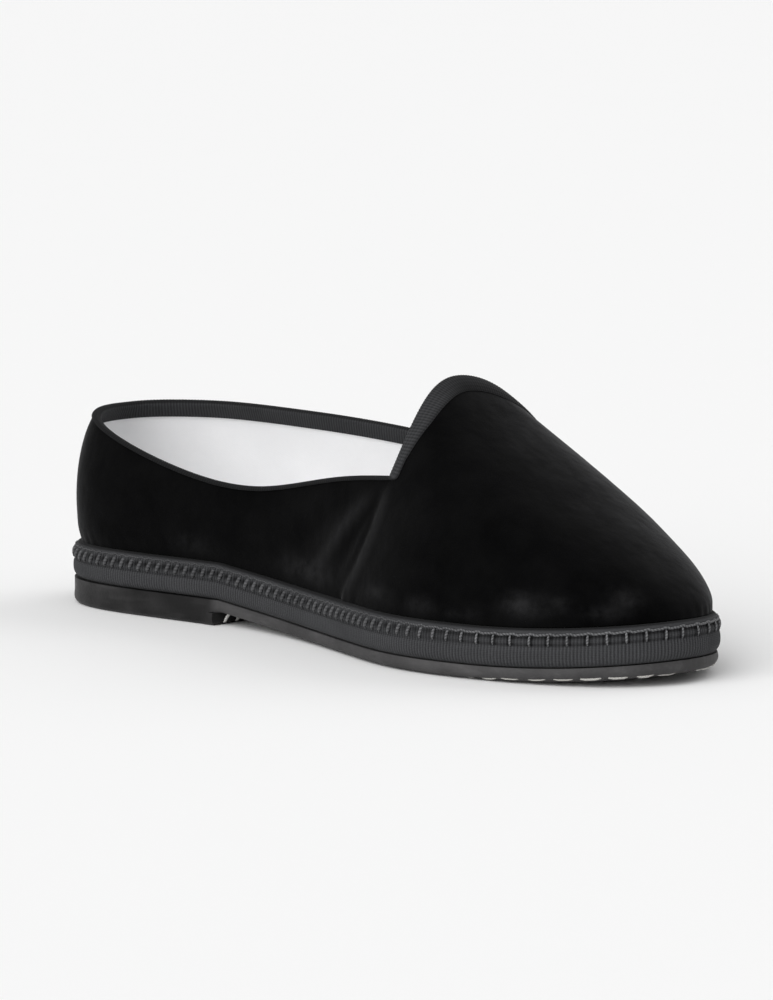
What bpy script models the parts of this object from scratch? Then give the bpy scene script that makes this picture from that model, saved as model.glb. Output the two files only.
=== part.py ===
"""Velvet slipper for the left foot, with a cloth sole body, a rubber outsole and a low heel lift.

Row frame: +X to the toe, +Y to the lateral side, +Z up, origin under the middle of the sole on the floor.
Sizes are millimetres and become metres when a mesh is made.
"""
import bmesh
import bpy
import numpy as np
from mathutils.bvhtree import BVHTree

MM = 0.001

# Sole
LENGTH = 262.0            # heel end to toe end of the edge tape
OUTSOLE_THICK = 4.2       # rubber sheet
LIFT_THICK = 3.6          # rubber block under the heel
HEEL_END = 0.314          # length fraction of the heel breast
WAIST_FROM = 0.32         # length fraction where the sole starts to come down to the ball
BALL_FROM = 0.57          # length fraction where the ball's flat spot starts
SPRING_FROM = 0.80        # length fraction where the toe spring starts
TOE_SPRING = 3.2          # rise of the outsole at the toe end
BAND_HEIGHT = 11.4        # cloth sole body in its edge tape
GAP = 0.3                 # clearance between pieces

# Upper
WALL = 2.0                # velvet, canvas and lining together
UPPER_INSET = 2.2         # how far the edge tape stands out past the velvet
SEAM_DEG = 98.7           # foot of the side seam, in degrees round the outline from the heel
SEAM_RIDGE = 0.8          # height of the side seam's raised step
SEAM_HALF = 0.8           # half width of that step, degrees
CORNER_ARC = 35.0         # throat corner, in degrees up the first section
BLEND_FROM = 62.0         # degrees where the quarter starts to take the form of the vamp's first section

# Binding and insole
TAPE = 0.7                # thickness of the binding tape
TAPE_COLLAR = 1.8         # its depth outside the collar
TAPE_TONGUE = 5.0         # its depth outside the tongue
TAPE_INSIDE = 4.6         # its depth inside
INSOLE_THICK = 1.6
INSOLE_INSET = 5.6

# Half widths of the sole: length fraction from the heel, medial, lateral
OUTLINE = (
    (0.040, 24.2, 19.0),
    (0.120, 32.0, 30.3),
    (0.250, 29.8, 33.2),
    (0.400, 28.4, 38.5),
    (0.550, 36.4, 45.2),
    (0.680, 45.8, 48.1),
    (0.800, 43.5, 44.2),
    (0.900, 34.3, 33.8),
    (0.965, 22.0, 20.4),
)

# Side of the outsole, of the heel lift and of the edge tape, from below: inset from the outline, height
OUTSOLE_EDGE = ((4.6, 0.0), (2.2, 0.3), (0.9, 1.3), (0.4, 2.6), (0.7, OUTSOLE_THICK))
LIFT_EDGE = ((1.1, 0.0), (0.4, 0.7), (0.2, LIFT_THICK))
TAPE_EDGE = ((1.4, 0.0), (0.4, 1.2), (0.0, 5.0), (0.2, 8.6), (0.9, 10.6), (1.9, BAND_HEIGHT))

# Sections of the vamp, by the outline angle of their feet: ridge along, across and up, forward bow, fullness
VAMP = (
    (98.7, 32.4, -1.2, 82.4, 9.3, 2.00),
    (111.0, 45.0, -0.8, 72.4, 7.5, 2.00),
    (120.0, 58.0, -0.4, 64.2, 5.5, 2.00),
    (130.0, 74.5, 0.0, 55.0, 4.0, 2.00),
    (140.0, 91.0, 0.0, 45.6, 2.5, 2.00),
    (150.0, 105.5, 0.0, 38.0, 1.2, 2.05),
    (160.0, 117.5, -0.4, 31.3, 0.4, 2.10),
    (170.0, 126.0, -0.8, 24.8, 0.0, 2.10),
)

# Collar by degrees from the heel: medial lean in, medial height, lateral lean in, lateral height
COLLAR = (
    (0.0, 7.0, 62.0, 7.0, 62.0),
    (22.0, 7.0, 61.0, 7.0, 62.5),
    (45.0, 5.5, 54.0, 7.0, 62.5),
    (62.0, 3.5, 46.5, 7.0, 62.0),
    (76.0, 2.5, 45.0, 7.0, 60.5),
    (90.0, 3.0, 52.4, 7.5, 57.8),
    (98.7, 3.8, 56.0, 7.0, 56.0),
)

# Wall of the quarter by degrees from the heel: two pull points as fractions in and up, and the bulge
QUARTER = (
    (0.0, -0.10, 0.30, 0.35, 0.75, 2.5),
    (60.0, 0.15, 0.33, 0.55, 0.70, 1.8),
    (90.0, 0.15, 0.33, 0.55, 0.72, 1.2),
    (98.7, 0.00, 0.36, 0.45, 0.80, 1.2),
)

ALL_ROUND = np.arange(92) * 360.0 / 92    # degrees of the points round a loop of the sole
LIFT_ROUND = 40           # points of the heel lift from breast to breast
WALL_STEPS = 8            # steps up the quarter, and up a section to the throat corner's height
ARCH_STEPS = 11           # steps of a section from there to the ridge
VAMP_STEP = 4.0           # degrees between sections of the vamp
QUARTER_STEPS = 50        # columns of the quarter from seam to seam round the heel

# Piece, base colour, roughness
LOOKS = {
    "outsole": ((0.035, 0.034, 0.035), 0.65),
    "heel_lift": ((0.028, 0.027, 0.028), 0.60),
    "midsole": ((0.030, 0.030, 0.031), 0.85),
    "upper": ((0.008, 0.008, 0.009), 0.95),
    "collar_binding": ((0.022, 0.022, 0.024), 0.85),
    "insole": ((0.80, 0.80, 0.80), 0.90),
}


def spline(xs, ys, at, period=None):
    """Cubic spline through a table, natural at its ends, or closed when a period is given."""
    xs, ys = np.asarray(xs, float), np.asarray(ys, float)
    at = np.asarray(at, float)
    if period:
        xs = np.concatenate([xs - period, xs, xs + period])
        ys = np.concatenate([ys, ys, ys])
        at = np.mod(at, period)
    n = len(xs)
    h = np.diff(xs)
    slope = np.diff(ys) / h
    system, right = np.eye(n), np.zeros(n)
    for i in range(1, n - 1):
        system[i, i - 1:i + 2] = h[i - 1], 2 * (h[i - 1] + h[i]), h[i]
        right[i] = 6 * (slope[i] - slope[i - 1])
    bend = np.linalg.solve(system, right)
    i = np.clip(np.searchsorted(xs, at) - 1, 0, n - 2)
    left, rest = at - xs[i], xs[i + 1] - at
    return ((bend[i] * rest ** 3 + bend[i + 1] * left ** 3) / (6 * h[i])
            + (ys[i] / h[i] - bend[i] * h[i] / 6) * rest + (ys[i + 1] / h[i] - bend[i + 1] * h[i] / 6) * left)


def column(table, index):
    return [row[index] for row in table]


def half_widths():
    """The outline's table as angles round the shoe and side distances, heel to heel by the medial side."""
    angle = [np.degrees(np.arccos(1 - 2 * row[0])) for row in OUTLINE]
    angles = [0.0] + angle + [180.0] + [360.0 - a for a in reversed(angle)]
    sides = [0.0] + [-row[1] for row in OUTLINE] + [0.0] + [row[2] for row in reversed(OUTLINE)]
    return angles, sides


ANGLES, SIDES = half_widths()
MIDDLE = (max(column(OUTLINE, 2)) - max(column(OUTLINE, 1))) / 2


def outline(deg, inset=0.0):
    """Plan points of the sole's edge at angles from the heel round by the medial side, moved in by inset."""
    def edge(d):
        return np.stack([-LENGTH / 2 * np.cos(np.radians(d)), spline(ANGLES, SIDES, d, 360.0) - MIDDLE], -1)
    deg = np.asarray(deg, float)
    along = edge(deg + 0.5) - edge(deg - 0.5)
    along /= np.linalg.norm(along, axis=-1, keepdims=True)
    inward = np.stack([-along[..., 1], along[..., 0]], -1)
    return edge(deg) + inward * np.asarray(inset, float)[..., None]


def rise(x):
    """Height of the outsole's underside: on the lift at the heel, flat at the ball, up at the toe."""
    fraction = x / LENGTH + 0.5
    heel = np.clip((BALL_FROM - fraction) / (BALL_FROM - WAIST_FROM), 0.0, 1.0) ** 2
    toe = np.clip((fraction - SPRING_FROM) / (1 - SPRING_FROM), 0.0, 1.0) ** 2
    return (LIFT_THICK + GAP) * heel + TOE_SPRING * toe


def sole_top(x):
    return rise(x) + OUTSOLE_THICK + GAP + BAND_HEIGHT


def loop(deg, inset, height):
    """A closed loop of points on the sole: the outline moved in, at a height function of x."""
    plan = outline(deg, np.full(len(deg), inset))
    return np.column_stack([plan, height(plan[:, 0])])


def make(name, points, faces):
    """A named object with its own material from points in millimetres."""
    mesh = bpy.data.meshes.new(name)
    mesh.from_pydata([tuple(p) for p in np.asarray(points) * MM], [], faces)
    form = bmesh.new()
    form.from_mesh(mesh)
    bmesh.ops.recalc_face_normals(form, faces=form.faces)
    form.to_mesh(mesh)
    form.free()
    colour, rough = LOOKS[name]
    material = bpy.data.materials.new(name)
    material.use_nodes = True
    shader = material.node_tree.nodes["Principled BSDF"]
    shader.inputs["Base Color"].default_value = (*colour, 1.0)
    shader.inputs["Roughness"].default_value = rough
    mesh.materials.append(material)
    piece = bpy.data.objects.new(name, mesh)
    bpy.context.scene.collection.objects.link(piece)
    return piece


def bands(count, size, closed):
    """Faces between loops of the same size that follow each other, back to the first when closed."""
    faces = []
    for k in range(count if closed else count - 1):
        a, b = k * size, (k + 1) % count * size
        faces += [(a + i, a + (i + 1) % size, b + (i + 1) % size, b + i) for i in range(size)]
    return faces


def lid(start, size, shared):
    """Faces across a loop, side to side; shared says that its first point is the heel's single end point."""
    pairs = [(i, (size - i) % size if shared else size - 1 - i) for i in range(size // 2 + shared)]
    faces = []
    for (a, b), (c, d) in zip(pairs, pairs[1:]):
        corners = [start + k for k in (a, c, d, b)]
        faces.append(tuple(dict.fromkeys(corners)))
    return faces


def slab(name, loops, shared=True):
    """A closed solid through loops from its underside to its top."""
    size = len(loops[0])
    faces = bands(len(loops), size, False) + lid(0, size, shared) + lid((len(loops) - 1) * size, size, shared)
    return make(name, np.vstack(loops), faces)


def outsole():
    """The rubber sheet, its lower edge rounded up to the side."""
    return slab("outsole", [loop(ALL_ROUND, inset, lambda x, up=up: rise(x) + up) for inset, up in OUTSOLE_EDGE])


def heel_lift():
    """The block under the heel, from breast to breast round the heel end."""
    end = np.degrees(np.arccos(1 - 2 * HEEL_END))
    deg = np.linspace(end, -end, LIFT_ROUND)
    loops = [loop(deg, inset, lambda x, up=up: np.full(len(x), up)) for inset, up in LIFT_EDGE]
    return slab("heel_lift", loops, False)


def midsole():
    """The cloth sole body; its side is the edge tape, rounded at both edges."""
    base = OUTSOLE_THICK + GAP
    return slab("midsole", [loop(ALL_ROUND, inset, lambda x, up=up: rise(x) + base + up) for inset, up in TAPE_EDGE])


def insole():
    """The lined board that the foot stands on."""
    heights = (GAP, GAP + INSOLE_THICK)
    return slab("insole", [loop(ALL_ROUND, INSOLE_INSET, lambda x, up=up: sole_top(x) + up) for up in heights])


def arch(deg, turns):
    """A section of the vamp over turns, 0 at its medial foot, 90 on the ridge and 180 at its lateral foot."""
    toe = (180.0, LENGTH / 2 - UPPER_INSET, -MIDDLE, sole_top(LENGTH / 2 - UPPER_INSET) + GAP, 0.0, VAMP[-1][5])
    rows = VAMP + (toe,)
    x, y, z, bow, full = (spline(column(rows, 0), column(rows, k), deg) for k in range(1, 6))
    feet = loop(np.array([deg, 360.0 - deg]), UPPER_INSET, lambda at: sole_top(at) + GAP)
    foot = np.where((turns <= 90.0)[:, None], feet[0], feet[1])
    angle = np.radians(np.minimum(turns, 180.0 - turns))
    reach, lift = np.cos(angle) ** (2 / full), np.sin(angle) ** (2 / full)
    ridge = np.array([x, y, z])
    points = ridge + (foot - ridge) * np.column_stack([np.cos(angle) ** 2, reach, 1 - lift])
    points[:, 0] += bow * 2.6 * np.cos(angle) ** 2 * np.sin(angle)
    return points


def quarter(signed, seams):
    """A column of the quarter, foot to collar, at degrees from the heel, plus on the medial side, minus lateral."""
    around = [-row[0] for row in reversed(COLLAR[1:])] + column(COLLAR, 0)
    lean = spline(around, [row[3] for row in reversed(COLLAR[1:])] + column(COLLAR, 1), signed)
    height = spline(around, [row[4] for row in reversed(COLLAR[1:])] + column(COLLAR, 2), signed)
    in1, up1, in2, up2, bulge = (spline(column(QUARTER, 0), column(QUARTER, k), abs(signed)) for k in range(1, 6))
    foot = loop(np.array([signed]), UPPER_INSET, lambda x: sole_top(x) + GAP)[0]
    top = np.append(outline(np.array([signed]), np.array([lean]))[0], height)
    out = (outline(np.array([signed]), np.zeros(1)) - outline(np.array([signed]), np.ones(1)))[0]
    t = np.linspace(0.0, 1.0, WALL_STEPS + 1)
    pull1, pull2, end = 3 * (1 - t) ** 2 * t, 3 * (1 - t) * t ** 2, t ** 3
    inward = pull1 * in1 + pull2 * in2 + end
    upward = pull1 * up1 + pull2 * up2 + end
    points = foot + (top - foot) * np.column_stack([inward, inward, upward])
    points[:, :2] += out * (bulge * 4 * t * (1 - t))[:, None]
    share = np.clip((abs(signed) - BLEND_FROM) / (SEAM_DEG - BLEND_FROM), 0.0, 1.0) ** 2
    if seams and share:
        side = SEAM_DEG if signed > 0 else -SEAM_DEG
        points += (seams[0 if signed > 0 else 1] - quarter(side, None)) * share
    return points


def upper_skin():
    """Outer points and faces of the upper, their outward normals, and the points along its top edge in order."""
    up_wall = np.linspace(0.0, CORNER_ARC, WALL_STEPS + 1)
    over = np.linspace(CORNER_ARC, 90.0, ARCH_STEPS + 1)[1:]
    half = np.concatenate([up_wall, over])
    turns = np.concatenate([half, 180.0 - half[-2::-1]])
    across = len(turns)
    feet = [SEAM_DEG, SEAM_DEG + SEAM_HALF] + list(np.arange(SEAM_DEG + VAMP_STEP, 177.0, VAMP_STEP))
    sections = [arch(deg, turns) for deg in feet]
    seams = (sections[0][:WALL_STEPS + 1], sections[0][::-1][:WALL_STEPS + 1])
    first = SEAM_DEG - SEAM_HALF
    inner = np.linspace(first - 2 * SEAM_HALF, -first + 2 * SEAM_HALF, QUARTER_STEPS)
    columns = [quarter(deg, seams) for deg in [first, *inner, -first]]
    toe = loop(np.array([180.0]), UPPER_INSET, lambda x: sole_top(x) + GAP)
    points = np.vstack(sections + columns + [toe])
    faces = []
    for i in range(len(sections) - 1):
        a, b = i * across, (i + 1) * across
        faces += [(a + j, b + j, b + j + 1, a + j + 1) for j in range(across - 1)]
    last = (len(sections) - 1) * across
    faces += [(last + j, len(points) - 1, last + j + 1) for j in range(across - 1)]
    start = len(sections) * across
    ranks = [list(range(WALL_STEPS + 1))]
    tall = WALL_STEPS + 1
    ranks += [list(range(start + c * tall, start + (c + 1) * tall)) for c in range(len(columns))]
    ranks += [[across - 1 - k for k in range(WALL_STEPS + 1)]]
    for a, b in zip(ranks, ranks[1:]):
        faces += [(a[k], a[k + 1], b[k + 1], b[k]) for k in range(WALL_STEPS)]
    edge = [rank[-1] for rank in ranks] + list(range(across - 2 - WALL_STEPS, WALL_STEPS, -1))
    normals = point_normals(points, faces)
    seam = list(range(WALL_STEPS + 1)) + [across - 1 - k for k in range(WALL_STEPS + 1)]
    step = np.tile(np.minimum(1.0, 2.0 * np.linspace(1.0, 0.0, WALL_STEPS + 1)), 2)
    points[seam] += normals[seam] * (SEAM_RIDGE * step)[:, None]
    feet_points = [i * across for i in range(len(sections))] + [(i + 1) * across - 1 for i in range(len(sections))]
    feet_points += [rank[0] for rank in ranks] + [len(points) - 1]
    normals[feet_points, 2] = 0.0
    return points, faces, normals / np.linalg.norm(normals, axis=1, keepdims=True), edge


def point_normals(points, faces):
    """Outward normals of points, from the faces round each."""
    normals = np.zeros_like(points)
    for face in faces:
        corners = points[list(face)]
        normals[list(face)] += np.cross(corners[2] - corners[0], corners[-1] - corners[1])
    return normals / np.linalg.norm(normals, axis=1, keepdims=True)


def upper():
    """The hollow shell: the outer skin, the same skin moved in by the wall, and the rims between them."""
    points, faces, normals, _ = upper_skin()
    count = len(points)
    shell = faces + [tuple(count + k for k in reversed(face)) for face in faces]
    sides = {pair for face in faces for pair in zip(face, face[1:] + face[:1])}
    shell += [(b, a, count + a, count + b) for a, b in sorted(sides) if (b, a) not in sides]
    return make("upper", np.vstack([points, points - normals * WALL]), shell)


def collar_binding():
    """The tape folded over the top edge, a channel in section, deeper on the tongue than on the collar."""
    points, faces, normals, edge = upper_skin()
    outer = BVHTree.FromPolygons([tuple(p) for p in points], faces)
    lining = BVHTree.FromPolygons([tuple(p) for p in points - normals * WALL], faces)
    rim, side = points[edge], normals[edge]
    along = np.roll(rim, -1, axis=0) - np.roll(rim, 1, axis=0)
    up = np.cross(along, side)
    up /= np.linalg.norm(up, axis=1, keepdims=True)
    count = len(edge)
    collar = np.arange(count) < QUARTER_STEPS + 4
    depth = {outer: np.where(collar, TAPE_COLLAR, TAPE_TONGUE)[:, None], lining: TAPE_INSIDE}

    def leg(tree, start, share, off):
        """Points on a face of the wall, down from the rim by a share of the tape's depth, set off it."""
        laid = []
        for p in start - up * depth[tree] * share:
            near, normal, _, _ = tree.find_nearest(p)
            laid.append(np.array(near) + np.array(normal) * off)
        return np.array(laid)

    near, far = GAP, GAP + TAPE
    low = rim - side * WALL
    loops = [leg(outer, rim, share, far) for share in (1.0, 0.5)] + [rim + side * far]
    loops += [rim + side * near + up * far, low - side * near + up * far, low - side * far]
    loops += [leg(lining, low, share, -far) for share in (0.5, 1.0)]
    loops += [leg(lining, low, share, -near) for share in (1.0, 0.5)]
    loops += [low - side * near + up * near, rim + side * near + up * near]
    loops += [leg(outer, rim, share, near) for share in (0.5, 1.0)]
    return make("collar_binding", np.vstack(loops), bands(len(loops), count, True))


def main():
    for old in list(bpy.data.objects):
        bpy.data.objects.remove(old, do_unlink=True)
    for piece in (outsole, heel_lift, midsole, insole, upper, collar_binding):
        piece()


main()
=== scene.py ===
"""Velvet slipper for the left foot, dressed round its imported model.

Tables are in millimetres, in the model's own frame: +X to the toe, +Y to the lateral side, +Z up.
"""
import math

import bpy
import numpy as np
from bpy.props import FloatProperty, FloatVectorProperty, PointerProperty
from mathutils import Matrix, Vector
from mathutils.bvhtree import BVHTree


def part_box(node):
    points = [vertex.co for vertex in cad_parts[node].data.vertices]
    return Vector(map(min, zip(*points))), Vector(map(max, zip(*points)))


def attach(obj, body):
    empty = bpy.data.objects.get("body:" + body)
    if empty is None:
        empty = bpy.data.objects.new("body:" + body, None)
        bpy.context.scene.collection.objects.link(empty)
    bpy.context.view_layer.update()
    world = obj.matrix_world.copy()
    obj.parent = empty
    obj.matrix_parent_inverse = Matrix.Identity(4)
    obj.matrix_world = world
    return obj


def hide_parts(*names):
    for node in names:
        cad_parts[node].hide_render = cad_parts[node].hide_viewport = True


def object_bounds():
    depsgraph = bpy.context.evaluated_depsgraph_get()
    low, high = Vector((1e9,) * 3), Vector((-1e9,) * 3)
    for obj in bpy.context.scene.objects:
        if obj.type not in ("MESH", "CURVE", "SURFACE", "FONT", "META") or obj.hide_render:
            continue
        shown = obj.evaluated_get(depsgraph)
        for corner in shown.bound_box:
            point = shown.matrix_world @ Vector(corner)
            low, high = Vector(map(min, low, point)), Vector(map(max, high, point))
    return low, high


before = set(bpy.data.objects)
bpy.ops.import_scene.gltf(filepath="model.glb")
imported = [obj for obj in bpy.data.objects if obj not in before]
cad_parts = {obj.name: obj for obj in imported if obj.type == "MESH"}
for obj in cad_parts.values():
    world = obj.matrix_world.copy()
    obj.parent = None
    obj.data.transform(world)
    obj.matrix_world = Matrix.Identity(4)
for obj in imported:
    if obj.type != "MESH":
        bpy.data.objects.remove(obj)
CAD_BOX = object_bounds()

bl_info = {
    "name": "Velvet slipper",
    "version": (1, 0, 0),
    "blender": (4, 5, 0),
    "location": "3D View > Sidebar > Slipper",
    "description": "Dresses a slipper's packed model in velvet, tape, thread, cotton and rubber",
    "category": "Object",
}

MM = 0.001

# The last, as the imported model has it
LENGTH = (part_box("midsole")[1].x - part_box("midsole")[0].x) / MM
OUTSOLE_THICK, LIFT_THICK, BAND_HEIGHT, GAP = 4.2, 3.6, 11.4, 0.3
HEEL_END, WAIST_FROM, BALL_FROM, SPRING_FROM = 0.314, 0.32, 0.57, 0.80    # length fractions from the heel
TOE_SPRING = 3.2
WALL, UPPER_INSET = 2.0, 2.2             # the upper's thickness, and how far inside the sole's edge it stands
SEAM_DEG, BLEND_FROM = 98.7, 62.0        # angles from the heel: the side seam, where the wall turns to it
CORNER_ARC = 35.0                        # turn of the vamp's first section at the throat's corner
BREAST = (HEEL_END - 0.5) * LENGTH
HEEL_SIDE = 0.2                          # inset of the rubber's side at the heel, sheet and lift alike
SEAM_BOW = 4.6                           # how far the side seam's ridge bows forward between its ends
SEAM_RIDGE = (0.34, 2.6)                 # height and half width
SEAM_TROUGH = (0.24, 4.6, 1.9)           # depth, distance behind the ridge and half width
DRAWN_BELOW = 12.0                       # height above the band up to which its stitches draw the velvet
PUCKER_PITCH = 5.2                       # distance between the puckers there
PUCKER = (0.30, 3.2)                     # their depth, and the height they fade over
SWELL = (0.22, 4.0, 3.0)                 # height of the swell above them, its middle and half width

# Half widths of the sole: length fraction from the heel, medial, lateral
OUTLINE = (
    (0.040, 24.2, 19.0), (0.120, 32.0, 30.3), (0.250, 29.8, 33.2), (0.400, 28.4, 38.5), (0.550, 36.4, 45.2),
    (0.680, 45.8, 48.1), (0.800, 43.5, 44.2), (0.900, 34.3, 33.8), (0.965, 22.0, 20.4),
)
# Sides from below: inset from the outline, height
OUTSOLE_EDGE = ((4.6, 0.0), (2.2, 0.3), (0.9, 1.3), (0.4, 2.6), (0.7, OUTSOLE_THICK))
LIFT_EDGE = ((1.1, 0.0), (0.4, 0.7), (0.2, LIFT_THICK))
TAPE_EDGE = ((1.4, 0.0), (0.4, 1.2), (0.0, 5.0), (0.2, 8.6), (0.9, 10.6), (1.9, BAND_HEIGHT))
# Sections of the vamp by the angle of their feet: ridge along, across and up, forward bow, fullness
VAMP = (
    (98.7, 32.4, -1.2, 82.4, 9.3, 2.00), (111.0, 45.0, -0.8, 72.4, 7.5, 2.00),
    (120.0, 58.0, -0.4, 64.2, 5.5, 2.00), (130.0, 74.5, 0.0, 55.0, 4.0, 2.00),
    (140.0, 91.0, 0.0, 45.6, 2.5, 2.00), (150.0, 105.5, 0.0, 38.0, 1.2, 2.05),
    (160.0, 117.5, -0.4, 31.3, 0.4, 2.10), (170.0, 126.0, -0.8, 24.8, 0.0, 2.10),
)
# Collar by degrees from the heel: medial lean in, medial height, lateral lean in, lateral height
COLLAR = (
    (0.0, 7.0, 62.0, 7.0, 62.0), (22.0, 7.0, 61.0, 7.0, 62.5), (45.0, 5.5, 54.0, 7.0, 62.5),
    (62.0, 3.5, 46.5, 7.0, 62.0), (76.0, 2.5, 45.0, 7.0, 60.5), (90.0, 3.0, 52.4, 7.5, 57.8),
    (98.7, 3.8, 56.0, 7.0, 56.0),
)
# Wall of the quarter by degrees from the heel: two pull points as fractions in and up, and the bulge
QUARTER = (
    (0.0, -0.10, 0.30, 0.35, 0.75, 2.5), (60.0, 0.15, 0.33, 0.55, 0.70, 1.8),
    (90.0, 0.15, 0.33, 0.55, 0.72, 1.2), (98.7, 0.00, 0.36, 0.45, 0.80, 1.2),
)

# Soft folds of the velvet: points along the fold, height of its ridge (minus for a trough), half width
FOLDS = (
    (((28.8, -31.2, 51.5), (22.8, -32.4, 44.5), (15.6, -32.6, 37.8), (9.0, -32.6, 30.5), (-0.2, -31.5, 21.0)),
     0.80, 2.4),
    (((30.5, -32.5, 48.0), (24.0, -34.0, 39.0), (18.0, -34.8, 30.0), (11.0, -34.0, 22.0)), -0.60, 2.6),
    (((21.0, -31.0, 51.0), (12.0, -31.5, 43.5), (0.0, -31.0, 36.0), (-13.0, -30.0, 28.0)), -0.50, 3.4),
    (((-30.0, -31.0, 36.0), (-52.0, -33.0, 33.0), (-76.0, -33.0, 35.0), (-98.0, -29.0, 40.0)), -0.55, 3.6),
    (((-36.0, -31.0, 29.0), (-60.0, -33.0, 27.0), (-86.0, -33.0, 28.0)), 0.35, 2.8),
    (((27.0, 38.0, 49.0), (17.0, 40.0, 41.0), (3.0, 40.0, 33.0), (-8.0, 39.0, 23.0)), 0.55, 2.6),
    (((20.0, 38.0, 52.0), (6.0, 39.5, 44.0), (-10.0, 39.0, 36.0), (-22.0, 37.0, 29.0)), -0.50, 3.6),
    (((-24.0, 36.0, 40.0), (-48.0, 35.0, 37.0), (-74.0, 33.0, 39.0), (-100.0, 27.0, 44.0)), -0.60, 4.2),
    (((-30.0, 37.0, 30.0), (-56.0, 35.0, 28.0), (-84.0, 33.0, 30.0)), 0.35, 3.0),
    (((62.0, -26.0, 53.0), (76.0, -33.0, 38.0), (84.0, -38.0, 26.0)), -0.35, 6.0),
    (((88.0, -30.0, 33.0), (99.0, -32.0, 25.0), (108.0, -28.0, 22.0)), 0.30, 4.5),
    (((66.0, 28.0, 52.0), (80.0, 35.0, 36.0), (88.0, 38.0, 26.0)), -0.35, 6.0),
)

# Patches where the velvet is paler: middle, reach along, reach up, amount
PALE_PATCHES = (
    ((95.0, -37.1, 22.9), 6.5, 3.4, 1.0), ((119.7, -18.6, 25.6), 4.5, 3.2, 0.9),
    ((116.0, -25.0, 21.4), 5.0, 2.0, 0.7), ((60.7, -45.2, 19.8), 6.0, 2.4, 0.7),
    ((40.1, -42.8, 21.0), 6.5, 2.4, 0.8), ((75.7, -43.1, 18.8), 6.0, 1.8, 0.5),
    ((105.9, -31.7, 23.6), 3.5, 2.4, 0.6), ((-2.0, -31.0, 22.5), 15.0, 3.4, 1.0),
    ((-58.0, -31.0, 25.0), 9.0, 3.0, 0.5), ((88.0, 41.0, 23.0), 7.0, 3.0, 0.8),
    ((112.0, 27.0, 24.0), 5.0, 2.6, 0.8), ((54.0, 46.0, 21.0), 6.5, 2.4, 0.6),
    ((-72.0, 32.0, 26.0), 8.0, 3.0, 0.5), ((6.0, 40.0, 24.0), 7.0, 3.0, 0.5),
)

# Lines of white running stitch under the sole: how far each one stops short of the toe and of the heel knot
LINE_STOPS = ((1.5, 1.0), (6.5, 6.5), (4.0, 4.0), (10.0, 9.0), (7.0, 6.0), (13.0, 11.0), (8.0, 5.0),
              (11.0, 9.5), (3.5, 4.5), (7.5, 7.0), (2.0, 1.5))
TOE_POINT, HEEL_POINT = 129.4, -121.5    # where those lines meet
LINE_INSET = 5.4                         # inset of the outermost of them along the sides
FURROW_HALF = 1.15                       # half width of the furrow that a line draws into the rubber
# Threads of the knot at the heel: turn in radians, reach
KNOT = ((0.3, 2.6), (1.25, 2.3), (2.1, 2.7), (2.75, 2.2), (0.8, 1.7))
# A stitch over the step at the heel's breast: distance ahead of the breast, height as a share of the step's
STEP = ((3.4, 1.08), (3.0, 0.97), (2.2, 0.88), (1.4, 0.64), (0.75, 0.40), (0.4, 0.22), (-0.3, 0.14))

# Stitches of both kinds have seven points: places along a running stitch, thickness along each kind
STITCH_POINTS = 7
ALONG = np.array([-0.5, -0.42, -0.22, 0.0, 0.22, 0.42, 0.5])
SOLE_TAPER = np.array([0.45, 0.85, 1.0, 1.04, 1.0, 0.85, 0.45])
EDGE_TAPER = np.array([0.5, 0.88, 1.0, 1.04, 1.0, 0.88, 0.5])
SOLE_SIDES, EDGE_SIDES, RAIL_SIDES = 8, 6, 5        # faces round each thread
SOLE_FLAT, EDGE_FLAT, RAIL_FLAT = 0.62, 0.72, 0.8   # height of each thread as a share of its width

# Heights on the edge tape: the two lines that its stitches draw in, their middle, a toe bar's foot, the rail
LOWER_LINE, UPPER_LINE, STITCH_MIDDLE, BAR_FOOT, RAIL_HEIGHT = 5.8, 9.8, 7.9, 6.35, 10.2
BAR_LENGTH, LEAN = 3.2, 0.46             # a toe bar's length, and a waist stitch's lean along for its height
TOE_REACH, WAIST_BLEND = 62.0, 50.0      # how far round the toe's stitches go, and the length of the change
RIB_POINTS = 4                           # points round a tape for each of its ribs

# Boxes between the toe's bars: height of their foot and top; holes between the waist's stitches: their middle
BOX_FOOT, BOX_TOP, HOLE_MIDDLE = 6.1, 9.6, 8.2
VELVET_SHADE = 10.5                      # height above which the tape lies in the velvet's shade

# The collar tape's legs down the wall: share of the depth, thickness and, outside, thickness where it thins
TAPE_THICK, TAPE_FOLD = 0.5, 0.35
OUTER_LEG = ((1.0, 0.10, 0.02), (0.94, TAPE_THICK, 0.12), (0.75, TAPE_THICK, 0.35),
             (0.5, TAPE_THICK, TAPE_THICK), (0.25, TAPE_THICK, TAPE_THICK))
INNER_LEG = ((0.25, TAPE_THICK), (0.5, TAPE_THICK), (0.75, TAPE_THICK), (0.94, TAPE_THICK), (1.0, 0.10))

TO_LINING = (1.009, 1.030, 1.0)          # scale that brings the insole's board out to the lining

# Suns: name, bearing and height in degrees, strength, spread in degrees
LIGHTS = (("top", 20.0, 72.0, 0.25, 70.0), ("rim", 165.0, 34.0, 0.60, 50.0), ("front", 8.0, 33.0, 2.1, 60.0))
ROOM_LIGHT = 0.48
FLOOR_SIZE, FLOOR_DROP = 40.0, 0.0002    # in metres


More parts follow.
